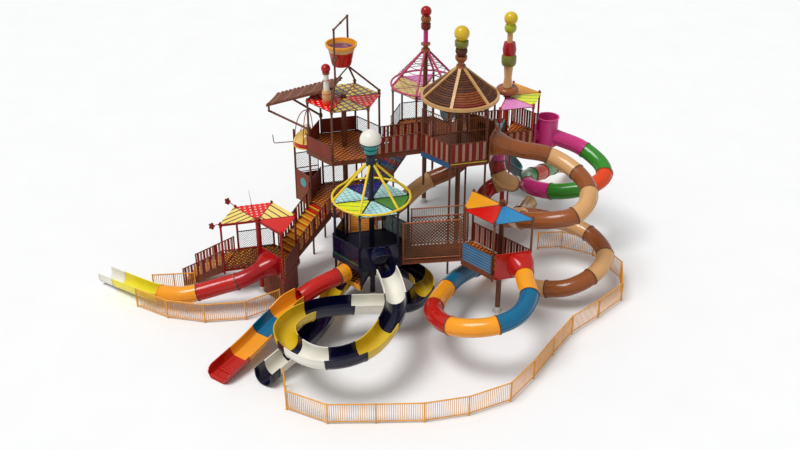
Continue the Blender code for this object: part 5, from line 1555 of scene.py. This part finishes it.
# Ornaments on the roofs, plain turned shapes
def globe(z, r, low=0.0, high=1.0, steps=12):
    """Part of a ball from a share low to a share high of its height."""
    turns = [pi * (low + (high - low) * i / steps) for i in range(steps + 1)]
    out = [(max(r * sin(t), 0.01), z - r * cos(t)) for t in turns]
    return [(0.01, out[0][1])] + out + [(0.01, out[-1][1])]


def ornament(name, middle, z, slot, pieces, hoops=()):
    """Turned pieces one on the other, their heights counted from z, and level hoops round them."""
    s = Shape(name, slot)
    for profile, mat in pieces:
        s.turned(middle, lifted(z, profile), mat, 32)
    for r, lift, thick, mat, sides, count in hoops:
        s.hoop(middle, r, z + lift, thick, mat, sides, count)
    s.done()


ornament("navy_finial", NAVY, NAVY_APEX + GAP, "white_moulding", [
    ([(0.01, 0.0), (0.24, 0.0), (0.24, 0.40), (0.20, 0.44), (0.01, 0.44)], NAVY_GLOSS),
    ([(0.01, 0.41), (0.29, 0.41), (0.32, 0.46), (0.32, 0.58), (0.26, 0.62), (0.01, 0.62)], TEAL_GLOSS),
    (globe(1.06, 0.515, 0.0, 0.42), TEAL_GLOSS),
    (globe(1.06, 0.520, 0.42, 1.0), WHITE_GLOSS)], [(0.518, 0.95, 0.022, NAVY_GLOSS, 8, 40)])
ornament("bucket_finial", (-2.25, 3.65), BUCKET_ROOF + 0.035 + GAP, "red_moulding", [
    ([(0.01, 0.0), (0.18, 0.0), (0.20, 0.05), (0.20, 0.22), (0.16, 0.26), (0.01, 0.26)], CORAL_GLOSS),
    ([(0.01, 0.22), (0.19, 0.24), (0.24, 0.34), (0.235, 0.60), (0.18, 0.76), (0.01, 0.78)], TAN_GLOSS),
    ([(0.01, 0.74), (0.13, 0.75), (0.15, 0.95), (0.12, 1.30), (0.14, 1.62), (0.01, 1.64)], WHITE_GLOSS),
    ([(0.01, 1.60), (0.17, 1.61), (0.19, 1.67), (0.17, 1.73), (0.01, 1.74)], BROWN_GLOSS),
    (globe(1.90, 0.235), CRIMSON_GLOSS)],
    [(0.235, 0.60, 0.014, RED_GLOSS, 8, 32), (0.15, 1.30, 0.014, RED_GLOSS, 8, 32)])
ornament("cone_finial", CONE, CONE_APEX + GAP, "brown_moulding", [
    ([(0.01, 0.0), (0.16, 0.0), (0.16, 0.19), (0.01, 0.19)], BROWN_GLOSS),
    ([(0.01, 0.17), (0.22, 0.18), (0.30, 0.30), (0.30, 0.44), (0.01, 0.46)], BROWN_GLOSS),
    (globe(0.71, 0.30), SLAT_DARK),
    ([(0.01, 0.93), (0.30, 0.92), (0.34, 1.0), (0.34, 1.22), (0.24, 1.30), (0.01, 1.30)], OLIVE_GLOSS),
    (globe(1.60, 0.38), YELLOW_GLOSS)])
ornament("pink_finial", PINK, PINK_APEX + GAP, "brown_moulding", [
    ([(0.01, 0.0), (0.14, 0.0), (0.14, 0.14), (0.26, 0.22), (0.26, 0.30), (0.01, 0.31)], BROWN_GLOSS),
    ([(0.01, 0.29), (0.13, 0.29), (0.13, 1.12), (0.01, 1.12)], PINK_GLOSS),
    ([(0.01, 1.10), (0.22, 1.10), (0.26, 1.18), (0.26, 1.42), (0.01, 1.46)], WALL_RED),
    (globe(1.66, 0.28), BROWN_GLOSS),
    (globe(2.09, 0.30), CRIMSON_GLOSS)])
ornament("back_finial", BACK, BACK_TOP + GAP, "brown_moulding", [
    ([(0.01, 0.0), (0.40, 0.0), (0.40, 0.36), (0.01, 0.36)], BROWN_GLOSS),
    ([(0.01, 0.36), (0.26, 0.38), (0.20, 0.9), (0.26, 1.62), (0.01, 1.64)], TAN_GLOSS),
    ([(0.01, 1.60), (0.36, 1.62), (0.40, 1.75), (0.40, 2.1), (0.34, 2.2), (0.01, 2.2)], OLIVE_GLOSS),
    ([(0.01, 2.18), (0.33, 2.2), (0.37, 2.5), (0.30, 2.86), (0.01, 2.88)], CRIMSON_GLOSS),
    ([(0.01, 2.86), (0.15, 2.87), (0.15, 3.40), (0.01, 3.41)], TAN_GLOSS),
    (globe(3.66, 0.32), LIME_GLOSS),
    (globe(4.17, 0.36), YELLOW_GLOSS)], [(0.44, 0.20, 0.18, BROWN_GLOSS, 14, 40)])
